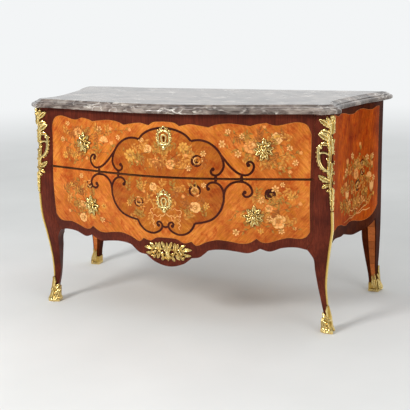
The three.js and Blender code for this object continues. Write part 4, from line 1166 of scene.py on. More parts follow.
upper_stems = [
    ([(360, 694), (343, 710), (325, 725)], 0, 0), ([(360, 694), (390, 722), (414, 748)], 20, 3),
    ([(360, 694), (395, 672), (425, 660), (458, 645)], 22, 6),
    ([(360, 694), (410, 690), (455, 697), (490, 703)], 20, 6),
    ([(360, 694), (310, 705), (270, 725), (243, 778)], 20, 6),
    ([(340, 740), (318, 762), (293, 765), (262, 776)], 16, 5), ([(400, 765), (388, 780), (372, 790)], 14, 3),
    ([(425, 735), (450, 728), (470, 720)], 16, 3), ([(385, 660), (425, 637), (468, 628)], 18, 5),
    ([(285, 700), (262, 708), (221, 735)], 14, 3), ([(-340, 694), (-370, 722), (-400, 750)], 18, 4),
    ([(-340, 694), (-310, 712), (-272, 722)], 16, 3),
    ([(-340, 694), (-385, 680), (-430, 668), (-468, 660)], 20, 6),
    ([(-340, 694), (-400, 700), (-450, 710), (-483, 722)], 18, 6),
    ([(-270, 750), (-250, 765), (-200, 775), (-155, 777)], 16, 6),
    ([(-335, 745), (-313, 765), (-290, 773)], 16, 3),
    ([(-330, 690), (-280, 683), (-238, 690), (-228, 711)], 18, 5),
    ([(-360, 665), (-400, 642), (-450, 636)], 18, 5), ([(20, 672), (60, 700), (100, 710), (152, 700)], 16, 6),
    ([(30, 650), (70, 640), (110, 652), (129, 660)], 14, 4), ([(20, 660), (-30, 690), (-69, 705)], 16, 4),
    ([(-60, 700), (-100, 690), (-146, 683), (-180, 700)], 16, 5),
    ([(-50, 640), (-80, 640), (-107, 652), (-140, 645)], 14, 5),
]
lower_flowers = [
    ("rose", -44, 570, 16, 0.3, pale), ("ringed", -108, 507, 21, 2.1), ("ringed", 123, 561, 24, -0.6),
    ("rose", 122, 498, 21, 0.5, pale), ("star", -100, 573, 13, 0.2, honey),
    ("star", 165, 505, 13, 0.8, golden), ("star", -152, 497, 13, 0.1, golden), ("bud", 70, 532, 12, 0.7),
    ("star", 156, 583, 10, 0.4), ("bud", -75, 545, 11, 2.6),
    ("rose", 396, 552, 21, 0.2, (rosewood, rosewood)), ("star", 414, 571, 15, 0.5),
    ("rose", 392, 498, 15, 0.1), ("rose", 426, 447, 26, 0.6, pale), ("star", 270, 403, 14, 0.4),
    ("star", 471, 541, 14, 0.9, honey), ("bud", 495, 513, 12, 0.4), ("star", 365, 530, 13, 0.3),
    ("star", 395, 458, 12, 0.2), ("bud", 474, 425, 12, -0.4), ("star", 435, 409, 12, 0.7),
    ("star", 440, 588, 10, 0.1), ("star", 360, 410, 12, 0.6, golden), ("star", 298, 470, 12, 0.5, brown),
    ("ringed", -342, 553, 17, 2.2), ("star", -391, 521, 20, 0.4, (walnut, boxwood), 9),
    ("carnation", -386, 462, 19, 1.9), ("rose", -390, 409, 19, 0.3, pale), ("star", -385, 583, 11, 0.2),
    ("bud", -437, 487, 13, 2.8), ("star", -440, 540, 12, 0.9, golden), ("star", -290, 412, 12, 0.3),
    ("bud", -450, 432, 12, 3.4), ("star", -276, 470, 12, 0.8, brown), ("star", -335, 420, 12, 0.1, honey),
]
lower_stems = [
    ([(350, 455), (378, 477), (392, 498), (397, 545)], 20, 6), ([(350, 455), (390, 440), (420, 445)], 18, 3),
    ([(350, 455), (330, 425), (300, 408), (270, 403)], 18, 5),
    ([(400, 510), (440, 520), (471, 538), (500, 560)], 20, 6), ([(400, 490), (450, 495), (495, 513)], 18, 5),
    ([(440, 440), (474, 430), (500, 415)], 16, 4), ([(350, 450), (390, 420), (435, 410)], 18, 4),
    ([(330, 485), (300, 490), (270, 475), (255, 450)], 16, 5),
    ([(-335, 455), (-360, 475), (-390, 515), (-395, 570)], 20, 6),
    ([(-335, 455), (-365, 440), (-386, 410)], 18, 4),
    ([(-350, 470), (-400, 475), (-437, 487), (-470, 510)], 18, 5),
    ([(-370, 500), (-360, 530), (-342, 545)], 14, 3),
    ([(-335, 455), (-310, 430), (-290, 412), (-250, 405)], 18, 5),
    ([(-380, 430), (-420, 425), (-450, 432)], 16, 4), ([(30, 570), (70, 555), (100, 550), (123, 550)], 14, 4),
    ([(60, 500), (90, 485), (122, 490), (165, 505)], 14, 5),
    ([(-40, 560), (-70, 530), (-108, 510), (-152, 497)], 14, 5),
    ([(-40, 575), (-80, 585), (-120, 570)], 14, 4),
]
lower_ribbons = [
    ([(5 + hand * x, z) for x, z in loop], width)
    for hand in (-1, 1)
    for loop, width in (
        ([(0, 468), (13, 474), (19, 483), (30, 484), (37, 490), (47, 483), (60, 483), (63, 472), (56, 466),
          (60, 457), (45, 460), (36, 453), (24, 461), (12, 459), (2, 468)], 3.4),
        ([(56, 462), (52, 452), (58, 443), (50, 434), (57, 423), (49, 416), (52, 406)], 3.6),
        ([(0, 466), (12, 456), (22, 455), (24, 444), (36, 437)], 3),
    )
]
side_flowers = [
    ("ringed", 158, 604, 16, 0.4), ("ringed", 158, 569, 15, 1.4), ("ringed", 117, 520, 24, 0.2),
    ("rose", 101, 569, 22, 0.3), ("bud", 10, 472, 33, 1.6, (sycamore, walnut)),
    ("bud", 231, 471, 34, 1.5, (sycamore, walnut)), ("bud", 140, 672, 15, 1.5), ("star", 68, 647, 14, 0.3),
    ("star", 194, 623, 15, 0.5), ("star", 240, 624, 13, 0.2), ("bud", 19, 612, 22, 1.6),
    ("bud", 100, 602, 14, 1.5), ("bud", 233, 575, 20, 1.5), ("star", 5, 591, 17, 0.8),
    ("bud", 2, 530, 17, 1.8), ("carnation", 211, 545, 18, 1.4), ("star", 252, 531, 14, 0.1),
    ("carnation", 151, 450, 23, 1.6, (pearwood, walnut)), ("star", 90, 458, 18, 0.2, golden),
    ("bud", 247, 450, 16, 1.2, brown), ("star", -55, 532, 15, 0.6, brown), ("star", -60, 469, 16, 0.1, brown),
    ("star", 35, 463, 13, 0.5), ("star", 190, 490, 13, 0.9, honey),
    ("star", 65, 505, 14, 0.1, (pearwood, boxwood)), ("bud", -20, 565, 14, 2.2),
]
side_stems = [
    ([(100, 415), (115, 500), (150, 600), (140, 670)], 26, 9),
    ([(100, 415), (85, 500), (100, 560), (100, 600)], 22, 6), ([(100, 415), (50, 440), (10, 472)], 22, 5),
    ([(90, 440), (40, 510), (5, 570), (19, 612)], 24, 8), ([(100, 415), (170, 430), (231, 471)], 22, 5),
    ([(130, 440), (185, 510), (220, 560), (240, 615)], 24, 8), ([(150, 500), (175, 560), (194, 615)], 22, 6),
    ([(70, 430), (0, 440), (-60, 465), (-55, 530)], 22, 7), ([(80, 540), (65, 600), (68, 640)], 20, 5),
]
side_ribbons = [
    ([(-10, 390), (20, 392), (47, 398), (70, 394), (95, 402), (113.5, 404), (140, 400), (166, 408),
      (190, 403), (222, 406)], 4.6),
    ([(100, 400), (70, 402), (38, 412), (43, 431), (65, 424), (90, 430), (118, 418), (105, 403)], 3.8),
    ([(110, 402), (129, 430), (148, 434), (166, 444), (190, 440), (203, 434), (190, 424), (165, 420),
      (130, 405)], 3.8),
]

for level, *bed in (
    ("upper", upper_zones, upper_flowers, upper_stems),
    ("lower", lower_zones, lower_flowers, lower_stems, lower_ribbons),
):
    garden = Garden(front_spot)
    garden.plant(*bed)
    settle(make_piece(f"{level}_drawer_flowers", garden.sheet, inlay_woods), f"{level}_drawer")
for hand, side in sides:
    garden = Garden(side_spot)
    garden.plant(side_zones, side_flowers, side_stems, side_ribbons)
    garden.sheet["points"] = [(x * hand, y, z) for x, y, z in garden.sheet["points"]]
    if hand < 0:
        garden.sheet["faces"] = [face[::-1] for face in garden.sheet["faces"]]
    settle(make_piece(f"{side}_side_flowers", garden.sheet, side_inlay_woods), "carcass")


# The boxwood line that edges each field, a thread 1.1 mm thick glued into a groove along the veneer's
# border. A tree of nodes sweeps the thread's section along the edge of the field.
line_width = 0.0011
line_depth = 0.0003
front_line_step = 0.006
side_line_step = 0.008
boxwood_line = wood("boxwood_line", [(0, "#b06d31"), (0.5, "#cb8844"), (1, "#dca05a")],
                    0.003, 0.03, "X", polish=0.08)


def new_growth(name, *inputs):
    """A tree of geometry nodes with its named measures, the function that adds to it, and its input."""
    tree = bpy.data.node_groups.new(name, "GeometryNodeTree")
    tree.interface.new_socket("Geometry", in_out="INPUT", socket_type="NodeSocketGeometry")
    for measure in inputs:
        tree.interface.new_socket(measure, in_out="INPUT", socket_type="NodeSocketFloat")
    tree.interface.new_socket("Geometry", in_out="OUTPUT", socket_type="NodeSocketGeometry")
    add = adder(tree)
    return tree, add, add("NodeGroupInput")


def end_growth(add, geometry, material):
    """Makes what the tree has grown real, and paints it."""
    real = add("GeometryNodeRealizeInstances", {"Geometry": geometry})
    painted = add("GeometryNodeSetMaterial", {"Geometry": real, "Material": material})
    add("NodeGroupOutput", {"Geometry": painted})


def grow(name, tree, measures, points, edges=(), facings=None):
    """A piece that a tree of geometry nodes makes from points, and from edges or from facings."""
    mesh = bpy.data.meshes.new(name)
    mesh.from_pydata([tuple(point) for point in points], edges, [])
    if facings:
        stored = mesh.attributes.new("facing", "FLOAT_VECTOR", "POINT")
        stored.data.foreach_set("vector", np.array(facings, np.float32).ravel())
    piece = bpy.data.objects.new(name, mesh)
    scene.collection.objects.link(piece)
    growth = piece.modifiers.new("growth", "NODES")
    growth.node_group = tree
    for socket in tree.interface.items_tree:
        if socket.name in measures:
            growth[socket.identifier] = measures[socket.name]
    bake(piece)
    return piece


thread_tree, add, given = new_growth("boxwood_thread", "Thread radius")
path = add("GeometryNodeMeshToCurve", {"Mesh": given})
section = add("GeometryNodeCurvePrimitiveCircle", {
    "Resolution": 6, "Radius": given.outputs["Thread radius"],
})
thread = add("GeometryNodeCurveToMesh", {"Curve": path, "Profile Curve": section, "Fill Caps": True})
end_growth(add, thread, boxwood_line)


def edge_line(name, body, spot, line, hand=1):
    """A boxwood thread along a line of places on a surface."""
    points = [spot(a, b, veneer_rise - line_depth) * (hand, 1, 1) for a, b in line]
    edges = [(i, i + 1) for i in range(len(points) - 1)]
    settle(grow(name, thread_tree, {"Thread radius": line_width / 2}, points, edges), body)


for level, table, edge, inwards in (
    ("upper", upper_field_tables, upper_front_bottom, 1), ("lower", lower_field_tables, lower_front_top, -1),
):
    outline = scallop(table)
    curve = [(x, outline(abs(x))) for x in both_sides(scallop_stops(table, front_line_step))]
    fall = steps(outline(field_half), edge + inwards * line_width, 12)
    line = [(-field_half, z) for z in reversed(fall)] + curve[1:-1] + [(field_half, z) for z in fall]
    edge_line(f"{level}_field_line", f"{level}_drawer", front_spot, line)
for hand, side in sides:
    low, high = (
        [side_field_place(y, share, field_low(y), field_high(y))
         for y in scallop_stops(table, side_line_step)]
        for share, table in ((0, side_field_low), (1, side_field_high))
    )
    rear = [(side_field_back, z) for z in steps(low[-1][1], high[-1][1], 24)]
    line = low + rear[1:-1] + high[::-1]
    edge_line(f"{side}_side_line", "carcass", side_spot, line, hand)


# The marble top, a 32 mm slab of grey breccia with a polished moulded edge: a full quarter round
# below, a fillet, and a hollow up to the flat. Its front follows the bow; its ears cover the corners.
top_thickness = 0.032
front_overhang = 0.0185
half_width = 0.738
half_depth = 0.3885
ear_reach = 0.085
ear_lead = 0.092
# the ear's places out and back as shares of its reach, then the flare's back and out behind it
ear_shares = [(-0.75, -0.83), (-0.56, -0.93), (-0.4, -0.99), (-0.2, -0.84), (0.22, -0.38), (0.33, -0.18),
              (0.27, 0.1), (0.1, 0.5)]
top_flare_shares = [(0.16, 0.03), (0.31, 0.14), (0.45, 0.29), (0.6, 0.46), (0.8, 0.8), (0.925, 0.97)]
# height and inset of the edge moulding as shares of the thickness, from the underside up
top_edge = [
    (0, 0.5), (0, 0.12), (0.02, 0.06), (0.06, 0.02), (0.12, 0), (0.3, 0), (0.37, 0.015), (0.44, 0.055),
    (0.5, 0.12), (0.545, 0.21), (0.57, 0.31), (0.58, 0.4), (0.59, 0.43), (0.675, 0.435), (0.69, 0.48),
    (0.71, 0.54), (0.74, 0.63), (0.785, 0.73), (0.835, 0.82), (0.885, 0.89), (0.93, 0.945), (0.95, 0.98),
    (0.96, 1.02), (0.985, 1.03), (1, 1.05), (1, 1.12),
]


def cross(a, b):
    """How far one direction turns into another, as the area between them."""
    return a[0] * b[1] - a[1] * b[0]


def grown(points, reach):
    """A closed anticlockwise outline moved outwards by a reach, along the mean of its edges' normals."""
    moved = []
    for i, point in enumerate(points):
        a = np.subtract(point, points[i - 1])
        b = np.subtract(points[(i + 1) % len(points)], point)
        a, b = (np.array((edge[1], -edge[0])) / max(hypot(*edge[:2]), 1e-9) for edge in (a, b))
        mean = (a + b) / max(np.linalg.norm(a + b), 1e-9)
        moved.append(np.array(point[:2]) + mean * reach / max(mean @ a, 0.5))
    return moved


def unlooped(ring, longest=70):
    """The ring without the small loops that a tight bend leaves: a straight cut across each corner."""
    ring, i = list(ring), 0
    while i < len(ring) - 2:
        along = ring[i + 1] - ring[i]
        for j in range(min(i + longest, len(ring) - 2), i + 1, -1):
            other, gap = ring[j + 1] - ring[j], ring[j] - ring[i]
            turn = cross(along, other)
            if abs(turn) < 1e-15:
                continue
            shares = cross(gap, other) / turn, cross(gap, along) / turn
            if 0 <= min(shares) and max(shares) <= 1:
                ring[i + 1 : j + 1] = list(np.linspace(ring[i], ring[j + 1], j - i + 2)[1:-1])
                i = j
                break
        i += 1
    return ring


front_edge = [(x, belly_y - front_overhang + bow(x)) for x in steps(0, corner_half - ear_lead, 40)]
ear = [(corner_half + ear_reach * out, corner_y + ear_reach * back) for out, back in ear_shares]
flare = [
    (corner_half + (half_width - corner_half) * out, corner_y + (half_depth - corner_y) * back)
    for back, out in top_flare_shares
]
side_edge = smooth_path([front_edge[-1], *ear, *flare, (half_width, half_depth)], 8)[1:]
half_outline = front_edge + [tuple(point) for point in side_edge]
outline = half_outline + [(-x, y) for x, y in reversed(half_outline[1:])]
rings = []
for height, inset in top_edge:
    ring = unlooped(grown(outline, -inset * top_thickness))
    # the back edge stands by the wall and has no moulding
    rings.append([
        (x, half_depth if back == half_depth else y, body_height + height * top_thickness)
        for (x, y), (_, back) in zip(ring, outline)
    ])


def breccia():
    """Polished breccia: grey-mauve fragments 20 to 80 mm across in a paler, veined ground."""
    material, add = new_material("polished_grey_breccia")
    place = add("ShaderNodeTexCoord").outputs["Object"]
    bed = add("ShaderNodeMapping", {"Vector": place, "Scale": (1.5, 1.1, 0.7)}, vector_type="TEXTURE")
    warp = add("ShaderNodeTexNoise", {"Vector": bed, "Scale": 7, "Detail": 4, "Roughness": 0.6})
    shift = add("ShaderNodeVectorMath", {0: warp.outputs["Color"], 1: (0.5, 0.5, 0.5)}, operation="SUBTRACT")
    sized = add("ShaderNodeVectorMath", {0: shift, "Scale": 0.16}, operation="SCALE")
    warped = add("ShaderNodeVectorMath", {0: bed, 1: sized}, operation="ADD")
    cloud = add("ShaderNodeTexNoise", {
        "Vector": warped, "Scale": 14, "Detail": 7, "Roughness": 0.66, "Distortion": 0.8,
    })
    colours = add("ShaderNodeValToRGB", {"Fac": cloud})
    paint_ramp(colours, [
        (0.28, "#322b28"), (0.42, "#554943"), (0.52, "#776a62"), (0.62, "#968a80"), (0.75, "#b4aa9e"),
    ])
    cells = add("ShaderNodeTexVoronoi", {"Vector": warped, "Scale": 17})
    lump = add("ShaderNodeSeparateColor", {0: cells.outputs["Color"]})
    lump_tone = add("ShaderNodeMapRange", {"Value": lump.outputs["Red"], "To Min": 0.72, "To Max": 1.28})
    lumpy = add("ShaderNodeMix", {"Factor": 1, "A": colours, "B": lump_tone}, **tinting)
    edges = add("ShaderNodeTexVoronoi", {"Vector": warped, "Scale": 17}, feature="DISTANCE_TO_EDGE")
    seam = add("ShaderNodeMapRange", {
        "Value": edges, "From Max": 0.07, "To Min": 1, "To Max": 0,
    }, interpolation_type="SMOOTHSTEP")
    breaks = add("ShaderNodeTexNoise", {"Vector": bed, "Scale": 19, "Detail": 3})
    gap = add("ShaderNodeMapRange", {"Value": breaks, "From Min": 0.49, "From Max": 0.67})
    vein = add("ShaderNodeMath", {0: seam, 1: gap}, operation="MULTIPLY")
    veined = add("ShaderNodeMix", {"Factor": vein, "A": lumpy, "B": linear("#ded6cb")}, data_type="RGBA")
    off_ring = add("ShaderNodeMath", {0: cells, 1: 0.36}, operation="SUBTRACT")
    ring_size = add("ShaderNodeMath", {0: off_ring}, operation="ABSOLUTE")
    ring = add("ShaderNodeMapRange", {
        "Value": ring_size, "From Min": 0.01, "From Max": 0.05, "To Min": 0.85, "To Max": 0,
    }, interpolation_type="SMOOTHSTEP")
    chosen = add("ShaderNodeMath", {0: lump.outputs["Green"], 1: 0.66}, operation="GREATER_THAN")
    broken = add("ShaderNodeMath", {0: chosen, 1: gap}, operation="MULTIPLY")
    ringed = add("ShaderNodeMath", {0: ring, 1: broken}, operation="MULTIPLY")
    cream = add("ShaderNodeMix", {"Factor": ringed, "A": veined, "B": linear("#ded5c6")}, data_type="RGBA")
    shader = add("ShaderNodeBsdfPrincipled", {
        "Base Color": cream, "Roughness": 0.16, "Specular IOR Level": 0.4,
    })
    add("ShaderNodeOutputMaterial", {"Surface": shader})
    return material


sheet = new_sheet()
add_loft(sheet, rings)
settle(make_piece("marble_slab", sheet, [breccia()], sharp=50), "carcass", ["marble_top"])


# The mounts, cast in bronze, chased and gilt with mercury, then pinned to the wood. Burnished crests
# are pale gold, and the hollows are painted dark brown: painted shade, with some patina of age. A
# casting is built of strips, leaves and bosses.
mount_rise = 0.0004
# place across as a share of the width, and share of the height
round_section = [(-0.5, 0.1), (-0.45, 0.48), (-0.32, 0.84), (-0.12, 1), (0.12, 1), (0.32, 0.84), (0.45, 0.48),
                 (0.5, 0.1)]
leaf_section = [(-0.5, 0.12), (-0.43, 0.55), (-0.3, 0.95), (-0.2, 1), (-0.08, 0.6), (0, 0.4), (0.08, 0.6),
                (0.2, 1), (0.3, 0.95), (0.43, 0.55), (0.5, 0.12)]
reed_section = [(-0.5, 0.12), (-0.44, 0.7), (-0.35, 0.9), (-0.24, 0.45), (-0.15, 0.88), (0, 1), (0.15, 0.88),
                (0.24, 0.45), (0.35, 0.9), (0.44, 0.7), (0.5, 0.12)]
# share of the length, and share of the width or height
acanthus_table = smooth_table([(0, 0.5), (0.25, 0.95), (0.45, 1), (0.75, 0.66), (1, 0.08)])
leaf_heights = [(0, 0.7), (0.35, 1), (0.75, 0.85), (1, 0.35)]
# how far a leaf's lobes are cut in and a spiral winds in, then the spiral's eye, all as shares
lobe_cut = 0.38
volute_wind = 0.82
volute_eye = 0.34
volute_eye_rise = 1.25


def chased_metal(name, stops, rough):
    """A metal whose crests, where its relief is high, are bright and smooth; where the relief is low it is
    painted darker, as painted shade in the hollows with some patina.
    """
    material, add = new_material(name)
    place = add("ShaderNodeTexCoord").outputs["Object"]
    relief = add("ShaderNodeAttribute", attribute_name="relief").outputs["Fac"]
    wear = add("ShaderNodeTexNoise", {"Vector": place, "Scale": 160, "Detail": 4, "Roughness": 0.65})
    spread = add("ShaderNodeMath", {0: wear, 1: 0.34, 2: -0.17}, operation="MULTIPLY_ADD")
    level = add("ShaderNodeMath", {0: relief, 1: spread}, operation="ADD")
    # the low relief takes the ramp's dark end: painted shade in the hollows, with some patina
    colours = add("ShaderNodeValToRGB", {"Fac": level})
    paint_ramp(colours, stops)
    haze = add("ShaderNodeMapRange", {
        "Value": level, "From Min": 0.1, "From Max": 0.9, "To Min": rough + 0.25, "To Max": rough,
    })
    dent = add("ShaderNodeBump", {"Strength": 0.35, "Distance": 0.0004, "Height": wear})
    shader = add("ShaderNodeBsdfPrincipled", {
        "Base Color": colours, "Metallic": 1, "Roughness": haze, "Normal": dent,
    })
    add("ShaderNodeOutputMaterial", {"Surface": shader})
    return material


gilt = chased_metal(
    "mercury_gilt_bronze", [(0.05, "#3b2a0f"), (0.3, "#8d6a2c"), (0.6, "#dab35c"), (0.95, "#fae29c")], 0.24,
)


class Casting:
    """A casting on one surface, where spot gives a place from across, up and lift. Its measures are in
    millimetres, and hands says on which halves of the chest it stands."""

    def __init__(self, spot, hands):
        self.spot = spot
        self.hands = hands
        self.sheet = new_sheet()

    def strip(self, points, widths, height, section=round_section, foot=0, smooth=5, sweep=0):
        """A strip along points; widths, height and foot are one measure or rows of share and measure."""
        path = [np.array(point) for point in metres(points)]
        path = smooth_path(path, smooth) if smooth else path
        measures = (widths, height, foot)
        tables = [smooth_table(rows) if isinstance(rows, list) else flat(rows) for rows in measures]
        top, bottom, relief = [], [], []
        for i, (place, side) in enumerate(zip(path, across(path))):
            width, thick, under = metres([table(i / (len(path) - 1)) for table in tables])
            run = np.array((side[1], -side[0]))
            row = [(place + side * width * u + run * sweep * width * abs(u), h) for u, h in section]
            top.append([self.spot(*at, mount_rise + under + thick * h) for at, h in row])
            bottom.append([self.spot(*at, mount_rise + under) for at, h in row])
            # the share of the section's height; the gilt paints its low parts dark as painted shade
            relief.append([h for at, h in row])
        for hand in self.hands:
            add_slab(self.sheet, top, bottom, relief=relief, hand=hand)

    def leaf(self, place, degrees, length, width, height, bend=0, lobes=3, foot=0):
        """An acanthus leaf: lobed edges that sweep forwards, a sunk midrib, and an even bend in degrees."""
        count = 5 * lobes
        path = walked(place, [radians(heading) for heading in bent(degrees, bend, count)], length)
        widths = []
        for share in steps(0, 1, count):
            notch = 1 - lobe_cut + lobe_cut * abs(sin(pi * (lobes * share + 0.08))) ** 0.7
            widths.append((share, width * acanthus_table(share) * notch))
        heights = [(share, height * value) for share, value in leaf_heights]
        self.strip(path, widths, heights, leaf_section, foot, smooth=0, sweep=0.45)

    def leaves(self, table, height, foot=0, lobes=3):
        """Leaves from rows of root across and up, heading in degrees, length, width, bend in degrees, and
        lobes if they differ from leaf to leaf."""
        for root_across, root_up, degrees, length, width, bend, *own in table:
            count = own[0] if own else lobes
            self.leaf((root_across, root_up), degrees, length, width, height, bend, count, foot)

    def boss(self, place, radius, height, foot=0, stretch=1, facets=14):
        """A domed button; stretch is its height over its width."""
        place, radius, height, foot = metres((place, radius, height, foot))
        rings, relief = [], []
        for reach, lift in ((1, 0), (1, 0.25), (0.9, 0.6), (0.66, 0.87), (0.35, 0.98), (0.1, 1)):
            rings.append([
                self.spot(place[0] + radius * reach * cos(angle),
                          place[1] + radius * stretch * reach * sin(angle),
                          mount_rise + foot + height * lift)
                for angle in steps(0, 2 * pi, facets)[:-1]
            ])
            # the dome's lift; the gilt paints its low rim dark as painted shade
            relief += [lift] * facets
        for hand in self.hands:
            add_loft(self.sheet, rings, relief=relief, hand=hand)

    def volute(self, centre, radius, degrees, turns, width, height):
        """A spiral that winds in from its outer end, at an angle from the centre, to a round eye."""
        count = max(int(abs(turns) * 16), 6)
        path = []
        for i in range(count + 1):
            angle = radians(degrees) + 2 * pi * turns * i / count
            path.append(centre + towards(angle) * radius * (1 - volute_wind * i / count))
        self.strip(path, [(0, width), (0.6, width * 0.75), (1, width * 0.6)], height, smooth=0)
        self.boss(centre, radius * volute_eye, height * volute_eye_rise)

    def finish(self, name, body, replaced):
        settle(make_piece(name, self.sheet, [gilt], sharp=50), body, [replaced])


def place_of(spot, x, z):
    """The same surface with its places counted from one point on it."""
    return lambda a, b, lift: spot(x + a, z + b, lift)


def skin_spot(face, step=0.004):
    """A place stood off from a post whose face is given; the normal turns evenly round the arris."""

    def spot(across, z, lift):
        run = face(across + step, z) - face(across - step, z)
        rise = face(across, z + step) - face(across, z - step)
        normal = np.cross(rise, run)
        return face(across, z) + normal * lift / np.linalg.norm(normal)

    return spot


def post_face(across, z):
    """A place on the skin of a front post: across runs inwards on its front, or on its side if below 0."""
    if across < 0:
        y = arris_y(z) - across
        return np.array((side_x(y, z), y, z))
    inner, arris = post_edges(z)
    return np.array(post_front(z, 1 - across / np.linalg.norm(arris - inner)))


corner_spot = skin_spot(post_face)


# The corner mounts: a winding reeded stem down the arris under long leaves, with a bud and curled
# leaves above, a large scroll beside it whose back is ruffled, and a chain of husks below.
corner_stem = [
    (6, 833), (13.5, 810), (9, 785), (15.5, 757), (9.5, 725), (11.5, 690), (14.5, 650), (8.5, 612),
    (10.5, 582), (6, 555),
]
corner_scroll = [
    (41, 726), (44.5, 733.5), (50, 728.5), (52, 715), (51.5, 698), (49.5, 678), (43.5, 660.5), (32.5, 647.5),
    (15, 637),
]
corner_bridge = [(50.5, 700), (41, 706.5), (28, 706), (12.5, 699)]
corner_leaves = [
    (6, 815, 108, 30, 17, -25, 2), (9, 800, 70, 42, 22, 25, 3), (12, 798, 36, 50, 26, -28, 4),
    (12, 776, 12, 37, 24, -45, 3), (11, 748, 32, 52, 30, -42, 4), (14, 733, 6, 34, 20, -60, 3),
    (14.5, 665, 70, 27, 14, -70, 2), (12, 603, 30, 46, 25, 40, 4), (12, 589, -26, 31, 19, -45, 3),
    (10, 572, -14, 16, 13, 60, 2), (5, 775, 92, 55, 25, -12, 4), (5, 700, 88, 72, 26, 14, 5),
    (6.5, 672, -86, 76, 23, -10, 5), (1, 812, 150, 17, 16, 40, 2), (0, 780, 162, 16, 18, 50, 2),
    (0, 745, 168, 16, 19, 50, 2), (0, 708, 190, 15, 19, -50, 2), (0, 672, 192, 14.5, 18, -50, 2),
    (0, 636, 200, 14, 17, -50, 2), (0, 600, 205, 13, 15, -40, 2),
]
# the ruffles' places and headings, and the husks' heights, lengths and widths
ruffle_places = [
    (52.5, 721.5, 34), (53.5, 707, 16), (53, 692, 0), (51.5, 677.5, -18), (47, 664, -38), (39.5, 652.5, -56),
    (30, 644.5, -70),
]
husk_places = [(580, 34, 24), (557, 31, 21), (535, 28, 18), (514, 24.5, 14)]
for hand, side in sides:
    casting = Casting(corner_spot, (hand,))
    casting.strip(corner_scroll, [(0, 7), (0.25, 13), (0.7, 14), (1, 10.5)], 6.8, foot=0.8)
    casting.strip(corner_bridge, 9, 5.4, foot=1.2)
    casting.leaves([(*place, turn + 18, 8.5, 12.5, 30) for *place, turn in ruffle_places], 4.2, lobes=1)
    casting.leaves(corner_leaves, 4.8, [(0, 2.2), (1, 0)])
    casting.strip(corner_stem, [(0, 10), (0.3, 14.5), (0.7, 14.5), (1, 11)], [(0, 6), (1, 6.8)], reed_section)
    husks = [(5.5, height, -92, length, width, 0) for height, length, width in husk_places]
    casting.leaves(husks, 5.2, [(0, 2.4), (1, 0)], lobes=2)
    casting.boss((6.5, 837.5), 6.8, 8.5, stretch=1.15)
    casting.boss((42.8, 724.5), 6, 8.2)
    casting.finish(f"{side}_corner_casting", "carcass", f"corner_mount_{side}")


# The fillets, brass strips bent over the arris of each leg from the corner mount to the shoe: a
# rounded bead between two flat edges.
fillet_section = [(-0.5, 0.25), (-0.46, 0.55), (-0.3, 0.6), (-0.22, 0.5), (-0.13, 0.85), (0, 1), (0.13, 0.85),
                  (0.22, 0.5), (0.3, 0.6), (0.46, 0.55), (0.5, 0.25)]
fillet_bottom = 112.3
fillet_top = 487.7
for hand, side in sides:
    casting = Casting(corner_spot, (hand,))
    line = [(0.5, height) for height in steps(fillet_bottom, fillet_top, 44)]
    casting.strip(line, [(0, 9.5), (1, 16.5)], 2.4, fillet_section, smooth=0)
    casting.finish(f"{side}_leg_fillet", "carcass", f"corner_fillet_{side}")


# The shoes on the feet. Each is a cup with a rolled lip, its rim cut low and raised to an acanthus
# leaf on the outer corner, over scrolled toes. The back shoes are lower and slimmer, with upright
# leaves up the leg's front face and none on the face by the wall.
shoe_low = 0.062
back_shoe_low = 0.04
shoe_high = 0.11
shoe_sole = 0.0055
shoe_gap = 0.0008
shoe_wall = 0.006
shoe_rise_reach = 0.024
shoe_slim_reach = 0.03
shoe_fade_reach = 0.05
# height share up the cup, share of the wall it stands out
shoe_rows = [(0, 0.95), (0.05, 1.3), (0.12, 1.5), (0.2, 1.25), (0.3, 0.8), (0.42, 0.62), (0.62, 0.72),
             (0.9, 0.6), (0.96, 0.72), (1, 0.5)]
shoe_out = smooth_table(shoe_rows)


def back_face(across, z):
    """A place on the skin of a back post: across runs forwards on its side, and below zero along its back."""
    if across < 0:
        return np.array((side_x(body_back, z) + across, body_back, z))
    return np.array((side_x(body_back - across, z), body_back - across, z))


back_corner_spot = skin_spot(back_face)


def cup_wall(reach, slim):
    """How far a shoe stands out from the leg, which falls to a share of the wall away from the arris."""
    return shoe_wall * max(1 - (1 - slim) * reach / shoe_slim_reach, slim)


def add_cup(casting, section_at, corner, low, slim):
    """The cup of a shoe: out from the sole to the rim, then down inside. corner is the arris's place,
    low the height of the rim away from it, and slim the share of the wall left there."""
    plan = np.array(section_at(leg_bottom))[:, :2]
    away = [np.linalg.norm(place - plan[corner]) for place in plan]
    rims = [low + (shoe_high - low) * max(1 - reach / shoe_rise_reach, 0) ** 1.5 for reach in away]
    walls = [cup_wall(reach, slim) for reach in away]

    def ring(share, out, bottom):
        places = []
        for i, (rim, wall) in enumerate(zip(rims, walls)):
            z = bottom + (rim - bottom) * share
            x, y = grown(section_at(max(z, leg_bottom)), shoe_gap + wall * out)[i]
            places.append((x, y, z))
        return places

    rings = [ring(share, out, 0) for share, out in shoe_rows]
    rings += [ring(share, 0, shoe_sole) for share in (1, 0.5, 0)]
    # how far the cup stands out sets its painted shade: pale on the bulges, dark inside and on the sole
    relief = [0.25 + 0.45 * out for share, out in shoe_rows for _ in plan] + [0.1] * len(plan) * 3
    for hand in casting.hands:
        add_loft(casting.sheet, rings, relief=relief, hand=hand)


def shoe_spot(spot, low, slim):
    """The outside of the cup as a surface for its leaves and toes."""

    def place(across_at, z, lift):
        out = shoe_out(min(z / low, 1)) if z < low else 0.5 * max(1 - (z - low) / shoe_fade_reach, 0)
        return spot(across_at, z, lift + shoe_gap + cup_wall(abs(across_at), slim) * out)

    return place


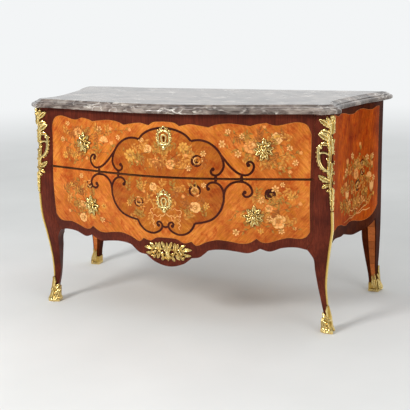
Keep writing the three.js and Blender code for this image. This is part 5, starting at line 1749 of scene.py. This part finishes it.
shoe_leaves = [
    (1, 58, 90, 53, 24, 0, 3), (4, 52, 55, 34, 17, 40, 2), (-2, 52, 125, 32, 16, -40, 2),
    (6, 36, 28, 27, 16, 50, 2), (-4, 36, 152, 25, 15, -50, 2), (1, 52, -90, 34, 20, 0, 2),
    (21, 8, 84, 50, 19, -16, 4), (-20, 8, 96, 50, 18, 16, 4), (31, 8, 92, 46, 13, -8, 3),
]
back_shoe_leaves = [leaf for leaf in shoe_leaves if leaf[0] > 0 and leaf[2] > 0]
back_toe_leaves = [(3, 14, 88, 70, 15, 4), (12, 14, 86, 62, 16, 8), (21, 13, 94, 36, 13, -14)]
# each leg's section, the arris's place in it, the rim's low height, the slim wall, the skin and the leaves
feet = [
    ("front", front_post_ring, 10, shoe_low, 1, corner_spot, shoe_leaves),
    ("back", back_post_ring, 9, back_shoe_low, 0.3, back_corner_spot, back_shoe_leaves),
]
for where, section_at, corner, low, slim, spot, leaves in feet:
    for hand, side in sides:
        casting = Casting(shoe_spot(spot, low, slim), (hand,))
        add_cup(casting, section_at, corner, low, slim)
        casting.leaves(leaves, 4.2, [(0, 1), (1, 0)])
        casting.volute((12.5, 16.5), 13.5, 80, -1.4, 6, 5.8)
        if where == "front":
            casting.volute((-12, 16.5), 13, 100, 1.4, 6, 5.8)
            casting.boss((0.5, 52), 5.5, 6.2)
        else:
            casting.spot = back_front_spot
            for toe in (5.5, 15.5, 25.5):
                casting.boss((toe, 9), 5.2, 5.6, foot=3.5)
            casting.leaves(back_toe_leaves, 4.2, [(0, 1), (1, 0)])
        casting.finish(f"{where}_{side}_shoe", "carcass", f"{where}_{side}_sabot")


# The pulls, solid castings held by bolts through the front: a rosette of nine ragged leaves round a
# back plate, a raised ring of smaller leaves that curl over it, and a bud to grip.
pull_places = (("upper", 0.37, 0.71597), ("lower", 0.337, 0.46696))
# heading in degrees, length from the middle, width, bend in degrees, lobes
pull_leaves = [
    (88, 43.5, 21, 10, 3), (48, 39, 19, -24, 3), (12, 37.5, 18, 20, 3), (-28, 37, 18, -18, 3),
    (-66, 40, 19, 22, 3), (-104, 42.5, 20, -12, 3), (-143, 36.5, 18, 22, 3), (176, 38, 18, -22, 3),
    (132, 38.5, 19, 16, 3),
]
pull_inner_leaves = [
    (heading, length, 13.5, 12, 2)
    for heading, length in ((70, 26), (16, 23), (-42, 25), (-96, 24), (-150, 23), (158, 25), (116, 22))
]
# each ring's leaves, their roots' distance from the middle, their height and the curve of their foot
pull_rings = [
    (pull_leaves, 6, 5.2, [(0, 3), (0.6, 2.2), (1, 3.5)]),
    (pull_inner_leaves, 3, 5, [(0, 8), (0.6, 8.5), (1, 4.5)]),
]
for level, reach, height in pull_places:
    for hand, side in sides:
        casting = Casting(place_of(front_spot, reach, height), (hand,))
        casting.boss((0, 0), 19, 5.2, facets=20)
        for leaves, root, rise, foot in pull_rings:
            for heading, length, width, bend, lobes in leaves:
                place = towards(radians(heading)) * root
                casting.leaf(place, heading, length - root, width, rise, bend, lobes, foot)
        casting.boss((0, 0), 8.2, 10.5, foot=12.5)
        casting.boss((0, 0), 10.5, 4, foot=9.5)
        casting.finish(f"{level}_{side}_rosette_pull", f"{level}_drawer", f"{level}_pull_{side}")


# The escutcheons: a raised plate round the keyhole inside a pierced shell of two scrolls, ruffled on
# their backs, with a ring above and a bud and leaf below.
keyhole_lip = [(0, 12.2), (7.2, 9.6), (10.2, 1), (8, -9), (5.8, -17.5), (0, -20.5)]
shell_scroll = [
    (3, 24.5), (11.5, 25.2), (19.5, 19.5), (22.8, 9.5), (20.5, 0.5), (22.8, -8.5), (19.5, -18.5),
    (11.5, -24.5), (3, -25.5),
]
shell_leaves = [
    (8, 26.5, 66, 14.5, 11.5, 40), (17.5, 22.5, 40, 12.5, 11.5, 40), (21.5, 12.5, 12, 10.5, 12.5, 30),
    (20.5, 0, 0, 13.5, 13.5, 0), (21.5, -11, -14, 9.8, 12.5, -30), (17.5, -21.5, -44, 10.5, 11.5, -40),
    (8.5, -26.5, -68, 11, 10.5, -40),
]
keyholes = (("upper", upper_keyhole), ("lower", lower_keyhole))
for level, keyhole in keyholes:
    casting = Casting(place_of(front_spot, 0, keyhole), (1, -1))
    casting.strip(keyhole_lip, 7.4, [(0, 4.2), (1, 3.8)], smooth=6)
    casting.strip(shell_scroll, [(0, 6), (0.25, 8.8), (0.5, 6.6), (0.75, 8.8), (1, 6)], 4.8)
    casting.leaves(shell_leaves, 3.6, lobes=2)
    half_turn = steps(-pi / 2, pi / 2, 10)
    casting.strip([(7.4 * cos(a), 34.5 + 7.2 * sin(a)) for a in half_turn], 5.2, 4.5, smooth=0)
    casting.boss((12.8, 20.5), 3.6, 5.6)
    casting.boss((11.8, -20), 3.6, 5.6)
    casting.hands = (1,)
    casting.strip([(0, -23.5), (0, -28.5), (0, -34)], [(0, 11), (0.6, 8.5), (1, 13)], 4.5)
    casting.boss((0, -38.5), 8.8, 5.8, facets=18)
    casting.leaf((0, 41), 90, 5.5, 9, 3.6, lobes=1)
    casting.finish(f"{level}_keyhole_escutcheon", f"{level}_drawer", f"{level}_escutcheon")


# The apron mount: two leafy scrolls that cross at a shell in the middle of the scalloped edge, with
# feathered leaves springing from their backs.
apron_mount_height = 0.314
# each scroll's places, width and height
apron_scrolls = [
    ([(2, -30), (14, -26), (24, -15), (32, -1), (43, 9.5), (57, 8.5), (65, -1), (63, -10.5), (55, -12),
      (52.5, -6.5)], 9.2, 6.8),
    ([(4, 22), (14, 11.5), (28, 6.5), (40, -4.5), (50, -18.5), (66, -21.5), (79, -14.5)], 7.8, 5.6),
]
apron_leaves = [
    (60, 4, 8, 40, 19, -40, 4), (52, 9.5, 40, 32, 16, -50, 3), (40, 8.5, 72, 27, 16, -40, 3),
    (28, 3, 84, 34, 18, 30, 3), (12, 12, 70, 29, 16, -30, 3), (66, -6, -14, 30, 16, 50, 3),
    (55, -17, -62, 20, 14, 30, 2), (36, -10, -62, 28, 16, 40, 3), (20, -20, -72, 23, 15, 30, 3),
    (44, 0, -30, 20, 13, -40, 2), (12, -12, 20, 20, 12, 40, 2),
]
# heading in degrees and length of the shell's leaves
shell_rays = [(90, 45), (62, 36), (118, 36), (-90, 31), (-62, 24), (-118, 24)]
casting = Casting(place_of(front_spot, 0, apron_mount_height), (1, -1))
for path, width, height in apron_scrolls:
    casting.strip(path, [(0, width * 0.8), (0.4, width), (1, width * 0.55)], height, reed_section, foot=1)
casting.leaves(apron_leaves, 5, [(0, 2.2), (1, 0)])
casting.boss((56, -5), 5.5, 8.5)
casting.boss((79, -14.5), 4.8, 6.2)
casting.hands = (1,)
rays = [(0, -8 if heading > 0 else -11, heading, length, 14.5, 0) for heading, length in shell_rays]
casting.leaves(rays, 5.2, [(0, 3.5), (1, 0.5)])
casting.boss((0, -9), 9.5, 9.8, stretch=0.9, facets=20)
casting.finish("apron_shell_casting", "lower_drawer", "apron_mount")


# The drawer boxes of thin oak boards, and the locks: a steel case let into the back of each front,
# with a sliding bolt, both left grey from the file with a soft shine.
dress([f"{level}_drawer_side_{side}" for level in levels for _, side in sides], oak_deep)
dress([f"{level}_drawer_{part}" for level in levels for part in ("bottom", "back")], oak_long)
filed_steel = chased_metal("filed_steel", [(0, "#4e5052"), (0.12, "#77797c"), (0.3, "#a3a5a8")], 0.3)
dress([f"{level}_lock_{part}" for level in levels for part in ("case", "bolt")], filed_steel)


# The small fixings: domed screws that hold the lock cases, cut nails round the back panel, and gilt
# pins that hold the mounts. A tree of nodes sets one domed head on each place, turned to its normal.
screw_inset = 0.009
nail_inset = 0.012
nail_pitch = 0.115
pin_lift = 0.0066
escutcheon_pin_lift = 0.005
# radius and height of each head
screw_head = (0.0034, 0.0011)
nail_head = (0.0026, 0.0007)
pin_head = (0.0016, 0.0013)
# distance from the middle or the arris, and height
corner_pins = metres([(34, 812), (33, 763), (31.5, 647.5), (34.5, 614), (5.5, 568), (5.5, 500)])
apron_pins = metres([(24.5, -14), (71, 11)])
escutcheon_pins = metres([(20.5, 14.5), (20.5, -13.5)])


def head_tree(name, material):
    """Geometry nodes that put a domed head on every point, facing along the point's normal."""
    tree, add, given = new_growth(name, "Head radius", "Head height")
    dome = add("GeometryNodeMeshUVSphere", {"Segments": 16, "Rings": 8})
    radius, height = given.outputs["Head radius"], given.outputs["Head height"]
    size = add("ShaderNodeCombineXYZ", {"X": radius, "Y": radius, "Z": height})
    facing = add("GeometryNodeInputNamedAttribute", {"Name": "facing"}, data_type="FLOAT_VECTOR")
    turn = add("FunctionNodeAlignRotationToVector", {"Vector": facing}, axis="Z")
    heads = add("GeometryNodeInstanceOnPoints", {
        "Points": given, "Instance": dome, "Rotation": turn, "Scale": size,
    })
    end_growth(add, heads, material)
    return tree


def fix(name, body, tree, head, places):
    """Heads of one kind on one body; a place is a point and its normal."""
    points, facings = zip(*places)
    piece = grow(name, tree, {"Head radius": head[0], "Head height": head[1]}, points, facings=facings)
    piece.data.shade_smooth()
    settle(piece, body)


def on_surface(spot, places, lift):
    """Places stood off from a surface by a lift, on both halves of the chest, with their normals."""
    found = []
    for hand in (-1, 1):
        for a, b in places:
            low, high = (spot(a, b, height) * (hand, 1, 1) for height in (0, lift))
            found.append((high, high - low))
    return found


def board_edges(name, inset):
    """The left and right, the back, and the lower and upper places inside the rim of a packed board."""
    box = np.array([nodes[name].matrix_world @ Vector(corner) for corner in nodes[name].bound_box])
    low, high = box.min(0), box.max(0)
    return (low[0] + inset, high[0] - inset), high[1], (low[2] + inset, high[2] - inset)


steel_heads = head_tree("steel_heads", filed_steel)
gilt_heads = head_tree("gilt_heads", gilt)
for level in levels:
    ends, back, heights = board_edges(f"{level}_lock_case", screw_inset)
    fix(f"{level}_lock_screws", f"{level}_drawer", steel_heads, screw_head,
        [((x, back, z), (0, 1, 0)) for x in ends for z in heights])
ends, back, heights = board_edges("back_panel", nail_inset)
across_count = round((ends[1] - ends[0] + 2 * nail_inset) / nail_pitch)
nails = [(x, z) for x in steps(*ends, across_count) for z in heights]
nails += [(x, z) for x in ends for z in steps(*heights, 4)[1:-1]]
fix("back_nails", "carcass", steel_heads, nail_head,
    [((x, back, z), (0, 1, 0)) for x, z in nails])
fix("corner_mount_pins", "carcass", gilt_heads, pin_head,
    on_surface(corner_spot, corner_pins, pin_lift))
fix("apron_mount_pins", "lower_drawer", gilt_heads, pin_head,
    on_surface(place_of(front_spot, 0, apron_mount_height), apron_pins, pin_lift))
for level, keyhole in keyholes:
    fix(f"{level}_escutcheon_pins", f"{level}_drawer", gilt_heads, pin_head,
        on_surface(place_of(front_spot, 0, keyhole), escutcheon_pins, escutcheon_pin_lift))
